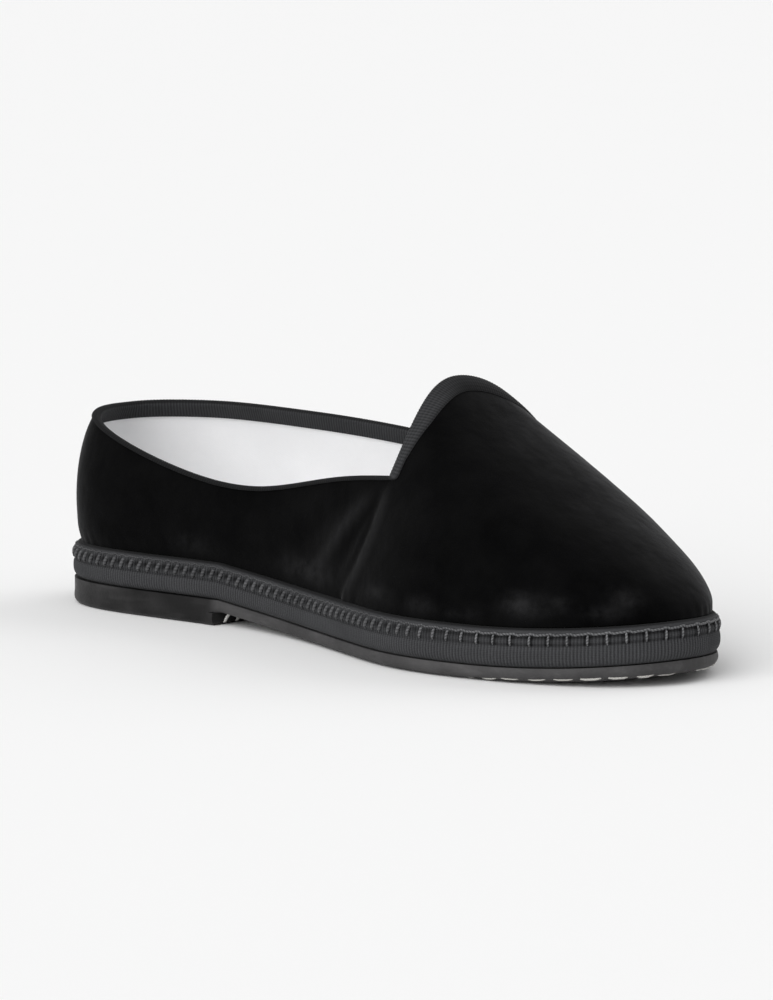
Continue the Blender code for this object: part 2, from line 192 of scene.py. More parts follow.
def spline(xs, ys, at, period=None):
    """Cubic spline through a table, natural at its ends, or closed when a period is given."""
    xs, ys, at = np.asarray(xs, float), np.asarray(ys, float), np.asarray(at, float)
    if period:
        xs, ys = np.concatenate([xs - period, xs, xs + period]), np.concatenate([ys, ys, ys])
        at = np.mod(at, period)
    n, h = len(xs), np.diff(xs)
    slope = np.diff(ys) / h
    system, right = np.eye(n), np.zeros(n)
    for i in range(1, n - 1):
        system[i, i - 1:i + 2] = h[i - 1], 2 * (h[i - 1] + h[i]), h[i]
        right[i] = 6 * (slope[i] - slope[i - 1])
    bend = np.linalg.solve(system, right)
    i = np.clip(np.searchsorted(xs, at) - 1, 0, n - 2)
    left, rest = at - xs[i], xs[i + 1] - at
    return ((bend[i] * rest ** 3 + bend[i + 1] * left ** 3) / (6 * h[i])
            + (ys[i] / h[i] - bend[i] * h[i] / 6) * rest + (ys[i + 1] / h[i] - bend[i + 1] * h[i] / 6) * left)


def column(table, index):
    """One column of a table."""
    return [row[index] for row in table]


def clip01(value):
    """A share kept between 0 and 1."""
    return np.clip(value, 0.0, 1.0)


def bell(value, middle, half):
    """A soft bump of height 1 about a middle, by its half width."""
    return np.exp(-((value - middle) / half) ** 2)


def unit(vectors):
    """Vectors brought to length 1."""
    return vectors / np.linalg.norm(vectors, axis=-1, keepdims=True)


def distances(line):
    """Distance along a line at each of its points."""
    return np.append(0.0, np.cumsum(np.linalg.norm(np.diff(line, axis=0), axis=1)))


def half_widths():
    """The outline's table as angles round the shoe and side distances, heel to heel by the medial side."""
    medial = [math.degrees(math.acos(1 - 2 * fraction)) for fraction in column(OUTLINE, 0)]
    angles = [0.0] + medial + [180.0] + [360.0 - a for a in reversed(medial)]
    return angles, [0.0] + [-row[1] for row in OUTLINE] + [0.0] + [row[2] for row in reversed(OUTLINE)]


ANGLES, SIDES = half_widths()
MIDDLE = (max(column(OUTLINE, 2)) - max(column(OUTLINE, 1))) / 2


def outline(deg, inset=0.0):
    """Plan points of the sole's edge at angles from the heel round by the medial side, moved in by inset."""
    def edge(d):
        return np.stack([-LENGTH / 2 * np.cos(np.radians(d)), spline(ANGLES, SIDES, d, 360.0) - MIDDLE], -1)
    deg = np.asarray(deg, float)
    along = unit(edge(deg + 0.5) - edge(deg - 0.5))
    inward = np.stack([-along[..., 1], along[..., 0]], -1)
    return edge(deg) + inward * np.asarray(inset, float)[..., None]


def out_of(deg):
    """The level way out of the sole's edge at angles round it."""
    return outline(deg) - outline(deg, 1.0)


def rise(x):
    """Height of the outsole's underside: on the lift at the heel, flat at the ball, up at the toe."""
    fraction = x / LENGTH + 0.5
    heel = clip01((BALL_FROM - fraction) / (BALL_FROM - WAIST_FROM)) ** 2
    toe = clip01((fraction - SPRING_FROM) / (1 - SPRING_FROM)) ** 2
    return (LIFT_THICK + GAP) * heel + TOE_SPRING * toe


def band_low(x):
    """Height of the edge tape's lower edge."""
    return rise(x) + OUTSOLE_THICK + GAP


def sole_top(x):
    """Height of the edge tape's top."""
    return band_low(x) + BAND_HEIGHT


ROUND = np.linspace(0.0, 360.0, 2881)
EDGE = outline(ROUND)
ARC = distances(EDGE)
GIRTH = ARC[-1]
TOE_ARC = np.interp(180.0, ROUND, ARC)


def degrees_at(arc):
    """Outline angle at a distance round the sole's edge."""
    return np.interp(np.mod(arc, GIRTH), ARC, ROUND)


def edge_point(plan, skip):
    """Number of the outline's point that lies nearest to each plan point, among every skip-th one."""
    return np.array([((EDGE[::skip] - p) ** 2).sum(1).argmin() for p in plan]) * skip


def inset_of(plan):
    """How far plan points lie inside the outline."""
    return np.array([np.sqrt(((EDGE[::3] - p) ** 2).sum(1).min()) for p in plan])


def waist_share(arc):
    """How far the edge stitches have the waist's form at a distance round the sole, 0 at the toe."""
    return clip01((np.abs(arc - TOE_ARC) - TOE_REACH) / WAIST_BLEND)


def heel_share(x):
    """How far the rubber sheet has the heel's side and finish, 0 ahead of the heel's breast."""
    return clip01((BREAST + 1.5 - x) / 2.5)


def rib_crests(count):
    """Height of a tape's ribs, 0 to 1, at points round it."""
    return 0.5 + 0.5 * np.cos(2 * np.pi * np.arange(count) / RIB_POINTS)


def profile(table, count):
    """A table of side points as a smooth line of count points: inset, height and length along it."""
    table = np.asarray(table, float)
    way = distances(table)
    at = np.linspace(0.0, way[-1], count)
    return spline(way, table[:, 0], at), spline(way, table[:, 1], at), at


def quads(rows, cols, wrap):
    """Corner numbers of a grid's faces, row after row; wrap joins the last column to the first."""
    r = np.arange(rows - 1)[:, None]
    c = np.arange(cols if wrap else cols - 1)[None, :]
    n = (c + 1) % cols
    return np.stack([r * cols + c, r * cols + n, (r + 1) * cols + n, (r + 1) * cols + c], -1).reshape(-1, 4)


def quad_uv(us, vs):
    """Corner places of a grid's faces, from distances along its columns and its rows."""
    a, b = np.broadcast_arrays(us[None, :-1], vs[:-1, None])
    c, d = np.broadcast_arrays(us[None, 1:], vs[1:, None])
    return np.stack([np.stack([a, b], -1), np.stack([c, b], -1), np.stack([c, d], -1), np.stack([a, d], -1)],
                    -2).reshape(-1, 2)


def across(start, size):
    """Faces of a lid from side to side of a closed loop whose first point is its own end."""
    faces = []
    for i in range(size // 2):
        a, b = (size - i) % size, (size - i - 1) % size
        faces.append(tuple(start + k for k in dict.fromkeys((i, i + 1, b, a))))
    return faces


def lone(piece):
    """Selects one object only and makes it the active one."""
    bpy.ops.object.select_all(action="DESELECT")
    piece.select_set(True)
    bpy.context.view_layer.objects.active = piece


def make(name, points, faces, materials, uv=None, values=None, slots=None, smooth=40.0):
    """A piece from points in millimetres, with its materials, cloth places and values at its points."""
    mesh = bpy.data.meshes.new(name)
    mesh.from_pydata((np.asarray(points) * MM).tolist(), [], [tuple(int(k) for k in f) for f in faces])
    for material in materials:
        mesh.materials.append(material)
    if slots is not None:
        mesh.polygons.foreach_set("material_index", np.asarray(slots, np.int32))
    if uv is not None:
        layer = mesh.uv_layers.new(name="cloth")
        layer.data.foreach_set("uv", (np.asarray(uv) * MM).astype(np.float32).ravel())
    for key, amounts in (values or {}).items():
        mesh.attributes.new(key, "FLOAT", "POINT").data.foreach_set("value", np.asarray(amounts, np.float32))
    piece = bpy.data.objects.new(name, mesh)
    bpy.context.scene.collection.objects.link(piece)
    lone(piece)
    bpy.ops.object.mode_set(mode="EDIT")
    bpy.ops.mesh.select_all(action="SELECT")
    bpy.ops.mesh.normals_make_consistent(inside=False)
    bpy.ops.object.mode_set(mode="OBJECT")
    bpy.ops.object.shade_smooth_by_angle(angle=math.radians(smooth))
    return piece


def set_out(piece, slot, *nodes):
    """Makes a piece move with the root body and hides the model's nodes that it stands for; slot is not used.
    """
    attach(piece, "root")
    if nodes:
        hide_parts(*nodes)
    return piece


def tubes(paths, outs, radii, flat, sides, closed):
    """Threads of one make: centre lines, the way out of the cloth at each point, radii along and flatness."""
    count, steps = paths.shape[:2]
    if closed:
        along = np.roll(paths, -1, axis=1) - np.roll(paths, 1, axis=1)
    else:
        along = np.gradient(paths, axis=1)
    along = unit(along)
    wide = unit(np.cross(along, outs))
    high = np.cross(wide, along)
    turn = np.arange(sides) * 2 * np.pi / sides
    size = np.broadcast_to(np.asarray(radii, float), (count, steps))[..., None, None]
    ring = wide[:, :, None] * np.cos(turn)[:, None] + high[:, :, None] * np.sin(turn)[:, None] * flat
    points = paths[:, :, None] + ring * size
    one = quads(steps + closed, sides, True) % (steps * sides)
    length = np.linalg.norm(np.roll(paths, -1, axis=1) - paths, axis=-1).mean(0)
    way = np.append(0.0, np.cumsum(length))[:steps + closed]
    uv_one = quad_uv(np.arange(sides + 1) / sides, way)
    caps = [list(range(sides)), list(range(steps * sides - sides, steps * sides))]
    faces, uv = [], []
    for base in range(0, count * steps * sides, steps * sides):
        faces += (one + base).tolist()
        uv.append(uv_one)
        if not closed:
            faces += [[base + k for k in cap] for cap in caps]
            uv.append(np.zeros((2 * sides, 2)))
    return points.reshape(-1, 3), faces, np.concatenate(uv)


class Wire:
    """A socket of a material's node tree. Sums of wires and numbers add Math nodes."""

    def __init__(self, tree, socket=None):
        self.tree, self.socket = tree, socket

    def node(self, kind, settings=None, values=None, out=0):
        """Adds a node, sets it, fills its inputs with numbers, colours or wires, and gives one output."""
        made = self.tree.nodes.new("ShaderNode" + kind)
        for key, value in (settings or {}).items():
            if key == "stops":
                ends = made.color_ramp.elements
                while len(ends) < len(value):
                    ends.new(0.5)
                for end, (place, grey) in zip(ends, value):
                    end.position, end.color = place, (grey, grey, grey, 1.0)
            else:
                setattr(made, key, value)
        for key, value in (values or {}).items():
            if isinstance(value, Wire):
                self.tree.links.new(value.socket, made.inputs[key])
            else:
                made.inputs[key].default_value = value
        return Wire(self.tree, made.outputs[out])

    def maths(self, operation, *terms):
        """One Math node on these terms."""
        return self.node("Math", {"operation": operation}, dict(enumerate(terms)))

    def __add__(self, other):
        return self.maths("ADD", self, other)

    __radd__ = __add__

    def __sub__(self, other):
        return self.maths("SUBTRACT", self, other)

    def __rsub__(self, other):
        return self.maths("SUBTRACT", other, self)

    def __mul__(self, other):
        return self.maths("MULTIPLY", self, other)

    __rmul__ = __mul__

    def value(self, name):
        """A value that the piece has at its points."""
        return self.node("Attribute", {"attribute_name": name}, out="Fac")

    def parts(self):
        """The first two numbers of a place."""
        first = self.node("SeparateXYZ", None, {0: self})
        return first, Wire(self.tree, first.socket.node.outputs[1])

    def wave(self, period):
        """A smooth wave from 0 to 1 of a distance."""
        return self.maths("SINE", self * (2 * math.pi / period)) * 0.5 + 0.5

    def grain(self, scale, detail=2.0, roughness=0.5, stretch=(1.0, 1.0, 1.0)):
        """Noise from 0 to 1 at this place, its scale counted per metre."""
        place = self.node("Mapping", None, {"Vector": self, "Scale": stretch})
        return self.node("TexNoise", None, {"Vector": place, "Scale": scale, "Detail": detail,
                                            "Roughness": roughness}, "Fac")

    def ramp(self, *stops):
        """This amount drawn out between stops, each a place and a grey."""
        return self.node("ValToRGB", {"stops": stops}, {"Fac": self})

    def tint(self, low, high):
        """A colour between two, by this amount."""
        return self.node("Mix", {"data_type": "RGBA"}, {0: self, 6: (*low, 1.0), 7: (*high, 1.0)}, 2)

    def over(self, colour, cover):
        """This colour with another laid over it by an amount."""
        return self.node("Mix", {"data_type": "RGBA"}, {0: cover, 6: self, 7: (*colour, 1.0)}, 2)

    def bump(self, distance, strength=1.0, under=None):
        """A normal from this height, laid over another normal where one is given."""
        values = {"Height": self, "Distance": distance, "Strength": strength}
        if under:
            values["Normal"] = under
        return self.node("Bump", None, values)


def finish(name, **sockets):
    """Sets a finish's shader from numbers, colours and wires; underscores in a name stand for spaces."""
    material = bpy.data.materials[name]
    shader = material.node_tree.nodes["Principled BSDF"]
    for key, value in sockets.items():
        socket = shader.inputs[key.replace("_", " ")]
        if isinstance(value, Wire):
            material.node_tree.links.new(value.socket, socket)
        elif isinstance(value, tuple):
            socket.default_value = (*value, 1.0)
        else:
            socket.default_value = value
    return material


def blank(name):
    """A new finish, with its object place and its place on the cloth."""
    material = bpy.data.materials.new(name)
    material.use_nodes = True
    start = Wire(material.node_tree)
    return start, start.node("TexCoord", out="Object"), start.node("UVMap", {"uv_map": "cloth"})


def velvet_finish(look):
    """Short black pile: dark face on, pale where it turns away; worn pile with painted highlight on seams and
    folds, pale patches and painted sheen laid on as colour.
    """
    start, place, _ = blank("velvet")
    pile = place.grain(2300.0, 2.0, 0.6)
    tufts = place.grain(520.0, 3.0, 0.55)
    clump = place.grain(230.0, 3.0, 0.6).ramp((0.38, 0.0), (0.66, 1.0))
    ruffle = place.grain(95.0, 2.0, 0.5)
    lay = ruffle.ramp((0.36, 0.0), (0.68, 1.0))
    drift = place.grain(32.0, 2.0, 0.5).ramp((0.34, 0.0), (0.70, 1.0))
    amount = lay * 0.36 + drift * 0.26 + pile * 0.24 + tufts * 0.18
    # Painted highlight along seams and folds, pale patches and painted sheen, in the pale velvet colour
    cover = start.value("worn") * (0.7 + tufts * 0.5)
    cover = cover + start.value("brushed") * (lay * 0.22 + clump * 0.34 + tufts * 0.15)
    colour = amount.tint(look.velvet_deep, look.velvet_lit).over(look.velvet_wear_and_highlight, cover)
    fuzz = (pile * 0.7 + tufts * 0.3).bump(0.0002, 0.5, ruffle.bump(0.0016, 0.3))
    return finish("velvet", Base_Color=colour, Roughness=0.96 - tufts * 0.12, Normal=fuzz,
                  Specular_IOR_Level=0.03, Sheen_Weight=0.165, Sheen_Roughness=0.32,
                  Sheen_Tint=(0.88, 0.88, 0.90))


def cotton_finish(name, look, on_cloth):
    """White cotton in plain weave, a little creased."""
    _, place, cloth = blank(name)
    along, up = (cloth if on_cloth else place).parts()
    warp, weft = along.wave(0.00062), up.wave(0.00062)
    weave = warp * weft + (1 - warp) * (1 - weft)
    cloud = place.grain(60.0, 3.0, 0.5)
    slub = place.grain(900.0, 2.0, 0.6)
    colour = (cloud * 0.6 + slub * 0.25 + weave * 0.15).tint(look.cotton_shade, look.cotton)
    creased = weave.bump(0.00012, 0.6, cloud.bump(0.0012, 0.35))
    return finish(name, Base_Color=colour, Roughness=0.86 + slub * 0.1, Normal=creased,
                  Specular_IOR_Level=0.2, Sheen_Weight=0.15, Sheen_Roughness=0.5)


def tape_finish(name, look, thread):
    """Black ribbed tape: fine warp threads over round cords, with a painted highlight on the crests and
    painted shade in hollows.
    """
    start, place, cloth = blank(name)
    _, up = cloth.parts()
    crest, hollow = start.value("crest"), start.value("hollow")
    fibre = up.wave(thread)
    fray = place.grain(1500.0, 2.0, 0.6)
    dust = place.grain(70.0, 3.0, 0.6).ramp((0.42, 0.0), (0.75, 1.0))
    # Painted highlight on the ribs' crests, with the threads, fraying and dust
    colour = (crest * 0.5 + fibre * 0.18 + fray * 0.3 + dust * 0.12).tint(look.tape_low, look.tape_high)
    colour = colour.over(look.tape_painted_shade, hollow * 0.95)
    threads = (fibre * 0.55 + fray * 0.45).bump(0.00014, 0.7)
    return finish(name, Base_Color=colour, Roughness=0.72 + fray * 0.2 - crest * 0.08, Normal=threads,
                  Specular_IOR_Level=0.10, Sheen_Weight=0.05, Sheen_Roughness=0.4)


def thread_finish(name, low, high, gloss):
    """Twisted thread: plies run slantwise round it, painted paler on them and darker between; a value at its
    points, of painted highlight and of wear, sets how pale it is.
    """
    start, place, cloth = blank(name)
    round_it, along = cloth.parts()
    ply = (along + round_it * 1.1).wave(0.00105)
    fluff = place.grain(1900.0, 2.0, 0.6)
    soil = place.grain(55.0, 3.0, 0.6).ramp((0.35, 0.0), (0.72, 1.0))
    # Painted highlight on the plies, painted shade between them
    colour = ((ply * 0.45 + fluff * 0.25 + soil * 0.3) * start.value("gleam")).tint(low, high)
    twist = (ply * 0.75 + fluff * 0.25).bump(0.0002, 0.8)
    return finish(name, Base_Color=colour, Roughness=gloss + fluff * 0.2, Normal=twist,
                  Specular_IOR_Level=0.2, Sheen_Weight=0.05, Sheen_Roughness=0.4)


def rubber_finish(name, look):
    """Black rubber: a fine pebble, patches of pale bloom, small scratches; the heel smoother and darker,
    partly its own rubber and partly painted shade.
    """
    start, place, _ = blank(name)
    heel = start.value("heel")
    pebble = place.grain(1300.0, 2.0, 0.55)
    bloom = place.grain(42.0, 4.0, 0.6).ramp((0.38, 0.0), (0.74, 1.0))
    scrape = place.grain(300.0, 2.0, 0.5, (0.16, 1.0, 1.0)).ramp((0.55, 0.0), (0.72, 1.0))
    colour = (bloom * 0.5 + pebble * 0.28 + scrape * 0.22).tint(look.rubber_low, look.rubber_high)
    # The heel's darker colour: partly its own smoother rubber, partly painted shade
    colour = colour.over(look.heel, heel * (0.95 - bloom * 0.35 - scrape * 0.1))
    grain = (pebble * 0.75 + scrape * 0.25).bump(0.0002, 0.6, bloom.bump(0.0006, 0.25))
    return finish(name, Base_Color=colour, Roughness=0.52 + pebble * 0.16 - scrape * 0.06 - heel * 0.1,
                  Normal=grain, Specular_IOR_Level=0.15)


def floor_finish(look):
    """Pale paper, hardly uneven."""
    _, place, _ = blank("floor_paper")
    colour = place.grain(3.0, 2.0, 0.5).tint(look.floor, tuple(min(1.0, c * 1.004) for c in look.floor))
    return finish("floor_paper", Base_Color=colour, Roughness=0.95, Specular_IOR_Level=0.1)


def feet(deg):
    """Where the upper stands on the edge tape."""
    plan = outline(deg, UPPER_INSET)
    return np.column_stack([plan, sole_top(plan[:, 0]) + GAP])


def arch(deg, turns):
    """A section of the vamp over turns, 0 at its medial foot, 90 on the ridge and 180 at its lateral foot."""
    end = LENGTH / 2 - UPPER_INSET
    rows = VAMP + ((180.0, end, -MIDDLE, sole_top(end) + GAP, 0.0, VAMP[-1][5]),)
    x, y, z, bow, full = (spline(column(rows, 0), column(rows, k), deg) for k in range(1, 6))
    ends = feet(np.array([deg, 360.0 - deg]))
    foot = np.where((turns <= 90.0)[:, None], ends[0], ends[1])
    angle = np.radians(np.minimum(turns, 180.0 - turns))
    reach, lift = np.cos(angle) ** (2 / full), np.sin(angle) ** (2 / full)
    ridge = np.array([x, y, z])
    points = ridge + (foot - ridge) * np.column_stack([np.cos(angle) ** 2, reach, 1 - lift])
    points[:, 0] += bow * 2.6 * np.cos(angle) ** 2 * np.sin(angle)      # 2.6 brings the curve's peak to 1
    return points


def quarter(signed, steps, seams=None):
    """A column of the quarter, foot to collar, at degrees from the heel, minus on the lateral side."""
    lateral = COLLAR[:0:-1]
    around = [-row[0] for row in lateral] + column(COLLAR, 0)
    lean = spline(around, column(lateral, 3) + column(COLLAR, 1), signed)
    height = spline(around, column(lateral, 4) + column(COLLAR, 2), signed)
    in1, up1, in2, up2, bulge = (spline(column(QUARTER, 0), column(QUARTER, k), abs(signed))
                                 for k in range(1, 6))
    here = np.array([signed])
    foot = feet(here)[0]
    top = np.append(outline(here, lean)[0], height)
    t = np.linspace(0.0, 1.0, steps + 1)
    pull1, pull2, end = 3 * (1 - t) ** 2 * t, 3 * (1 - t) * t ** 2, t ** 3
    inward, upward = pull1 * in1 + pull2 * in2 + end, pull1 * up1 + pull2 * up2 + end
    points = foot + (top - foot) * np.column_stack([inward, inward, upward])
    points[:, :2] += out_of(here)[0] * (bulge * 4 * t * (1 - t))[:, None]
    share = clip01((abs(signed) - BLEND_FROM) / (SEAM_DEG - BLEND_FROM)) ** 2
    if seams is not None and share:
        points += seams[0 if signed > 0 else 1] * share
    return points


def face_normals(points, faces):
    """Outward normals of points, from the faces round each."""
    normals = np.zeros_like(points)
    for face in faces:
        corners = points[list(face)]
        normals[list(face)] += np.cross(corners[2] - corners[0], corners[-1] - corners[1])
    return unit(normals)


class Skin:
    """The upper's outer face as a fine grid: points, faces, cloth places, normals, top edge, side seams."""

    WALL_STEPS, ARCH_STEPS = 26, 30
    FINE = np.array([0.25, 0.5, 0.8, 1.2, 1.7, 2.4, 3.3, 4.4])    # degrees of the close rows by the seam

    def __init__(self):
        wall = self.WALL_STEPS
        half = np.concatenate([np.linspace(0.0, CORNER_ARC, wall + 1),
                               np.linspace(CORNER_ARC, 90.0, self.ARCH_STEPS + 1)[1:]])
        turns = np.concatenate([half, 180.0 - half[-2::-1]])
        wide = len(turns)
        deg = SEAM_DEG + np.concatenate([[0.0], self.FINE, np.arange(5.5, 179.2 - SEAM_DEG, 1.1)])
        sections = np.array([arch(d, turns) for d in deg])
        first = (sections[0][:wall + 1], sections[0][::-1][:wall + 1])
        seams = [line - quarter(side, wall) for line, side in zip(first, (SEAM_DEG, -SEAM_DEG))]
        steps = SEAM_DEG - np.concatenate([self.FINE, np.arange(5.6, SEAM_DEG, 1.3)])
        signed = np.concatenate([steps, -steps[::-1]])
        columns = np.array([quarter(d, wall, seams) for d in signed])
        toe = feet(np.array([180.0]))
        self.points = np.vstack([sections.reshape(-1, 3), columns.reshape(-1, 3), toe])
        rows, tall = len(deg), wall + 1
        last, start, end = (rows - 1) * wide, rows * wide, len(self.points) - 1
        faces = [tuple(f) for f in quads(rows, wide, False)[:, [0, 3, 2, 1]]]
        faces += [(last + j, end, last + j + 1) for j in range(wide - 1)]
        ranks = [np.arange(tall)] + [start + c * tall + np.arange(tall) for c in range(len(signed))]
        ranks += [wide - 1 - np.arange(tall)]
        for a, b in zip(ranks, ranks[1:]):
            faces += [(a[k], a[k + 1], b[k + 1], b[k]) for k in range(wall)]
        self.faces = [tuple(int(k) for k in f) for f in faces]
        self.edge = np.array([rank[-1] for rank in ranks] + list(range(wide - 2 - wall, wall, -1)))
        self.collar_count = len(ranks)
        self.seams = first
        self.behind = np.zeros(len(self.points), bool)
        self.behind[start:end] = True
        self.normals = face_normals(self.points, self.faces)
        low = np.concatenate([np.arange(rows) * wide, np.arange(rows) * wide + wide - 1,
                              [rank[0] for rank in ranks], [end]])
        flat = self.normals.copy()
        flat[low, 2] = 0.0
        self.level = unit(flat)
        run = np.repeat((deg - SEAM_DEG) * 1.7, wide)       # a degree of the vamp is about 1.7 mm of cloth
        vamp = np.column_stack([run, np.concatenate([distances(line) for line in sections])])
        run = np.repeat(-distances(columns[:, wall // 2]), tall)
        quarters = np.column_stack([run, np.concatenate([distances(line) for line in columns])])
        self.cloth = np.vstack([vamp, quarters, (130.0, 0.0)])


def dense(line, count=70):
    """Points close together along a line of a few points, on a smooth curve."""
    line = np.asarray(line, float)
    way = distances(line)
    at = np.linspace(0.0, way[-1], count)
    return np.column_stack([spline(way, line[:, k], at) for k in range(3)])


def near(points, normals, line):
    """Distance of points to a line along the surface, and the share of the line's length passed there."""
    apart = points[:, None] - line[None]
    flat = (apart ** 2).sum(-1) - (apart * normals[:, None]).sum(-1) ** 2
    far = (apart ** 2).sum(-1) > 100.0
    flat = np.where(far, 1e6, np.maximum(flat, 0.0))
    k = flat.argmin(1)
    return np.sqrt(flat[np.arange(len(points)), k]), k / (len(line) - 1.0)


def gather(points):
    """Shallow puckers where the velvet is drawn down under the edge stitches, and its swell above them."""
    above = points[:, 2] - sole_top(points[:, 0]) - GAP
    low = np.where(above < DRAWN_BELOW)[0]
    above = above[low]
    arc = ARC[edge_point(points[low, :2], 4)]
    arc = arc + 1.1 * np.sin(arc / 17.0)        # spaced a little unevenly
    wave = 0.5 + 0.5 * np.cos(2 * np.pi * arc / PUCKER_PITCH)
    depth, fade = PUCKER
    out = np.zeros(len(points))
    out[low] = -depth * wave * bell(above, 0.0, fade) + SWELL[0] * bell(above, *SWELL[1:])
    return out


def relief(skin):
    """How far the velvet stands off the last's smooth form, and where it is paler: worn pile with a painted
    highlight along seams and fold ridges, pale patches, and painted sheen on the vamp's lateral half.
    """
    points, normals = skin.points, skin.normals
    x, y, z = points.T
    off, worn, brushed = np.zeros((3, len(points)))
    ridge, ridge_half = SEAM_RIDGE
    trough, trough_back, trough_half = SEAM_TROUGH
    for seam in skin.seams:
        line = seam.copy()
        line[:, 0] += SEAM_BOW * np.sin(np.pi * np.linspace(0.0, 1.0, len(line)))
        away, _ = near(points, normals, dense(line[::2], 160))
        behind = x < np.interp(z, line[:, 2], line[:, 0])
        high = clip01((z - 15.0) / 14.0)        # a seam's painted highlight, partly worn pile, is fainter near the band
        off += ridge * bell(away, 0.0, ridge_half) - trough * behind * bell(away, trough_back, trough_half)
        # Painted highlight along the seam's ridge, partly worn pile, laid on in the pale velvet colour
        worn = np.maximum(worn, (0.13 + 0.15 * high) * bell(away, 0.0, 2.2))
    for line, height, half in FOLDS:
        away, share = near(points, normals, dense(line))
        fade = np.sin(np.pi * np.clip(share, 0.03, 0.97)) ** 0.7
        off += height * fade * bell(away, 0.0, half)
        # Painted highlight along a high fold's ridge, partly worn pile
        if height > 0.5:
            worn = np.maximum(worn, 0.42 * fade * bell(away, 0.0, 0.85 * half))
    for middle, along, up, amount in PALE_PATCHES:
        level = np.hypot(x - middle[0], y - middle[1]) / along
        brushed += amount * np.exp(-level ** 2 - ((z - middle[2]) / up) ** 2)
    brushed += 0.45 * ~skin.behind * clip01((y + 9.0) / 18.0)       # painted sheen over the vamp's lateral half
    # The cloth's own unevenness, short and long
    off += 0.16 * np.sin(x / 9.0 + 0.6 * np.sin(y / 11.0)) * np.sin(y / 10.5 + z / 13.0 + 1.3)
    off += 0.22 * np.sin(x / 21.0 + z / 17.0) * np.sin(y / 19.0 - z / 26.0 + 0.5)
    top = points[skin.edge]
    hem = np.array([((top - p) ** 2).sum(1).min() for p in points]) ** 0.5  # folds, wear and painted highlights end at the hem
    return off * clip01(hem / 7.0) + gather(points), worn * clip01((hem - 2.0) / 6.0), brushed


def upper_piece(look):
    """The velvet shell with its cotton lining: outer face, inner face and the two rims between them."""
    skin = Skin()
    count = len(skin.points)
    off, worn, brushed = relief(skin)
    outer = skin.points + skin.level * off[:, None]
    inner = skin.points - skin.level * WALL
    pairs = {pair for face in skin.faces for pair in zip(face, face[1:] + face[:1])}
    rims = [(b, a, count + a, count + b) for a, b in sorted(pairs) if (b, a) not in pairs]
    faces = skin.faces + [tuple(count + k for k in reversed(face)) for face in skin.faces] + rims
    slots = [0] * len(skin.faces) + [1] * len(skin.faces) + [0] * len(rims)
    lining = np.zeros(count)
    cloth = np.vstack([skin.cloth, skin.cloth])
    uv = cloth[np.concatenate([np.array(face) for face in faces])]
    piece = make("upper_velvet", np.vstack([outer, inner]), faces,
                 [velvet_finish(look), cotton_finish("lining_cotton", look, True)], uv,
                 {"worn": np.append(worn, lining), "brushed": np.append(brushed, lining)}, slots, 60.0)
    return set_out(piece, "upper", "upper")


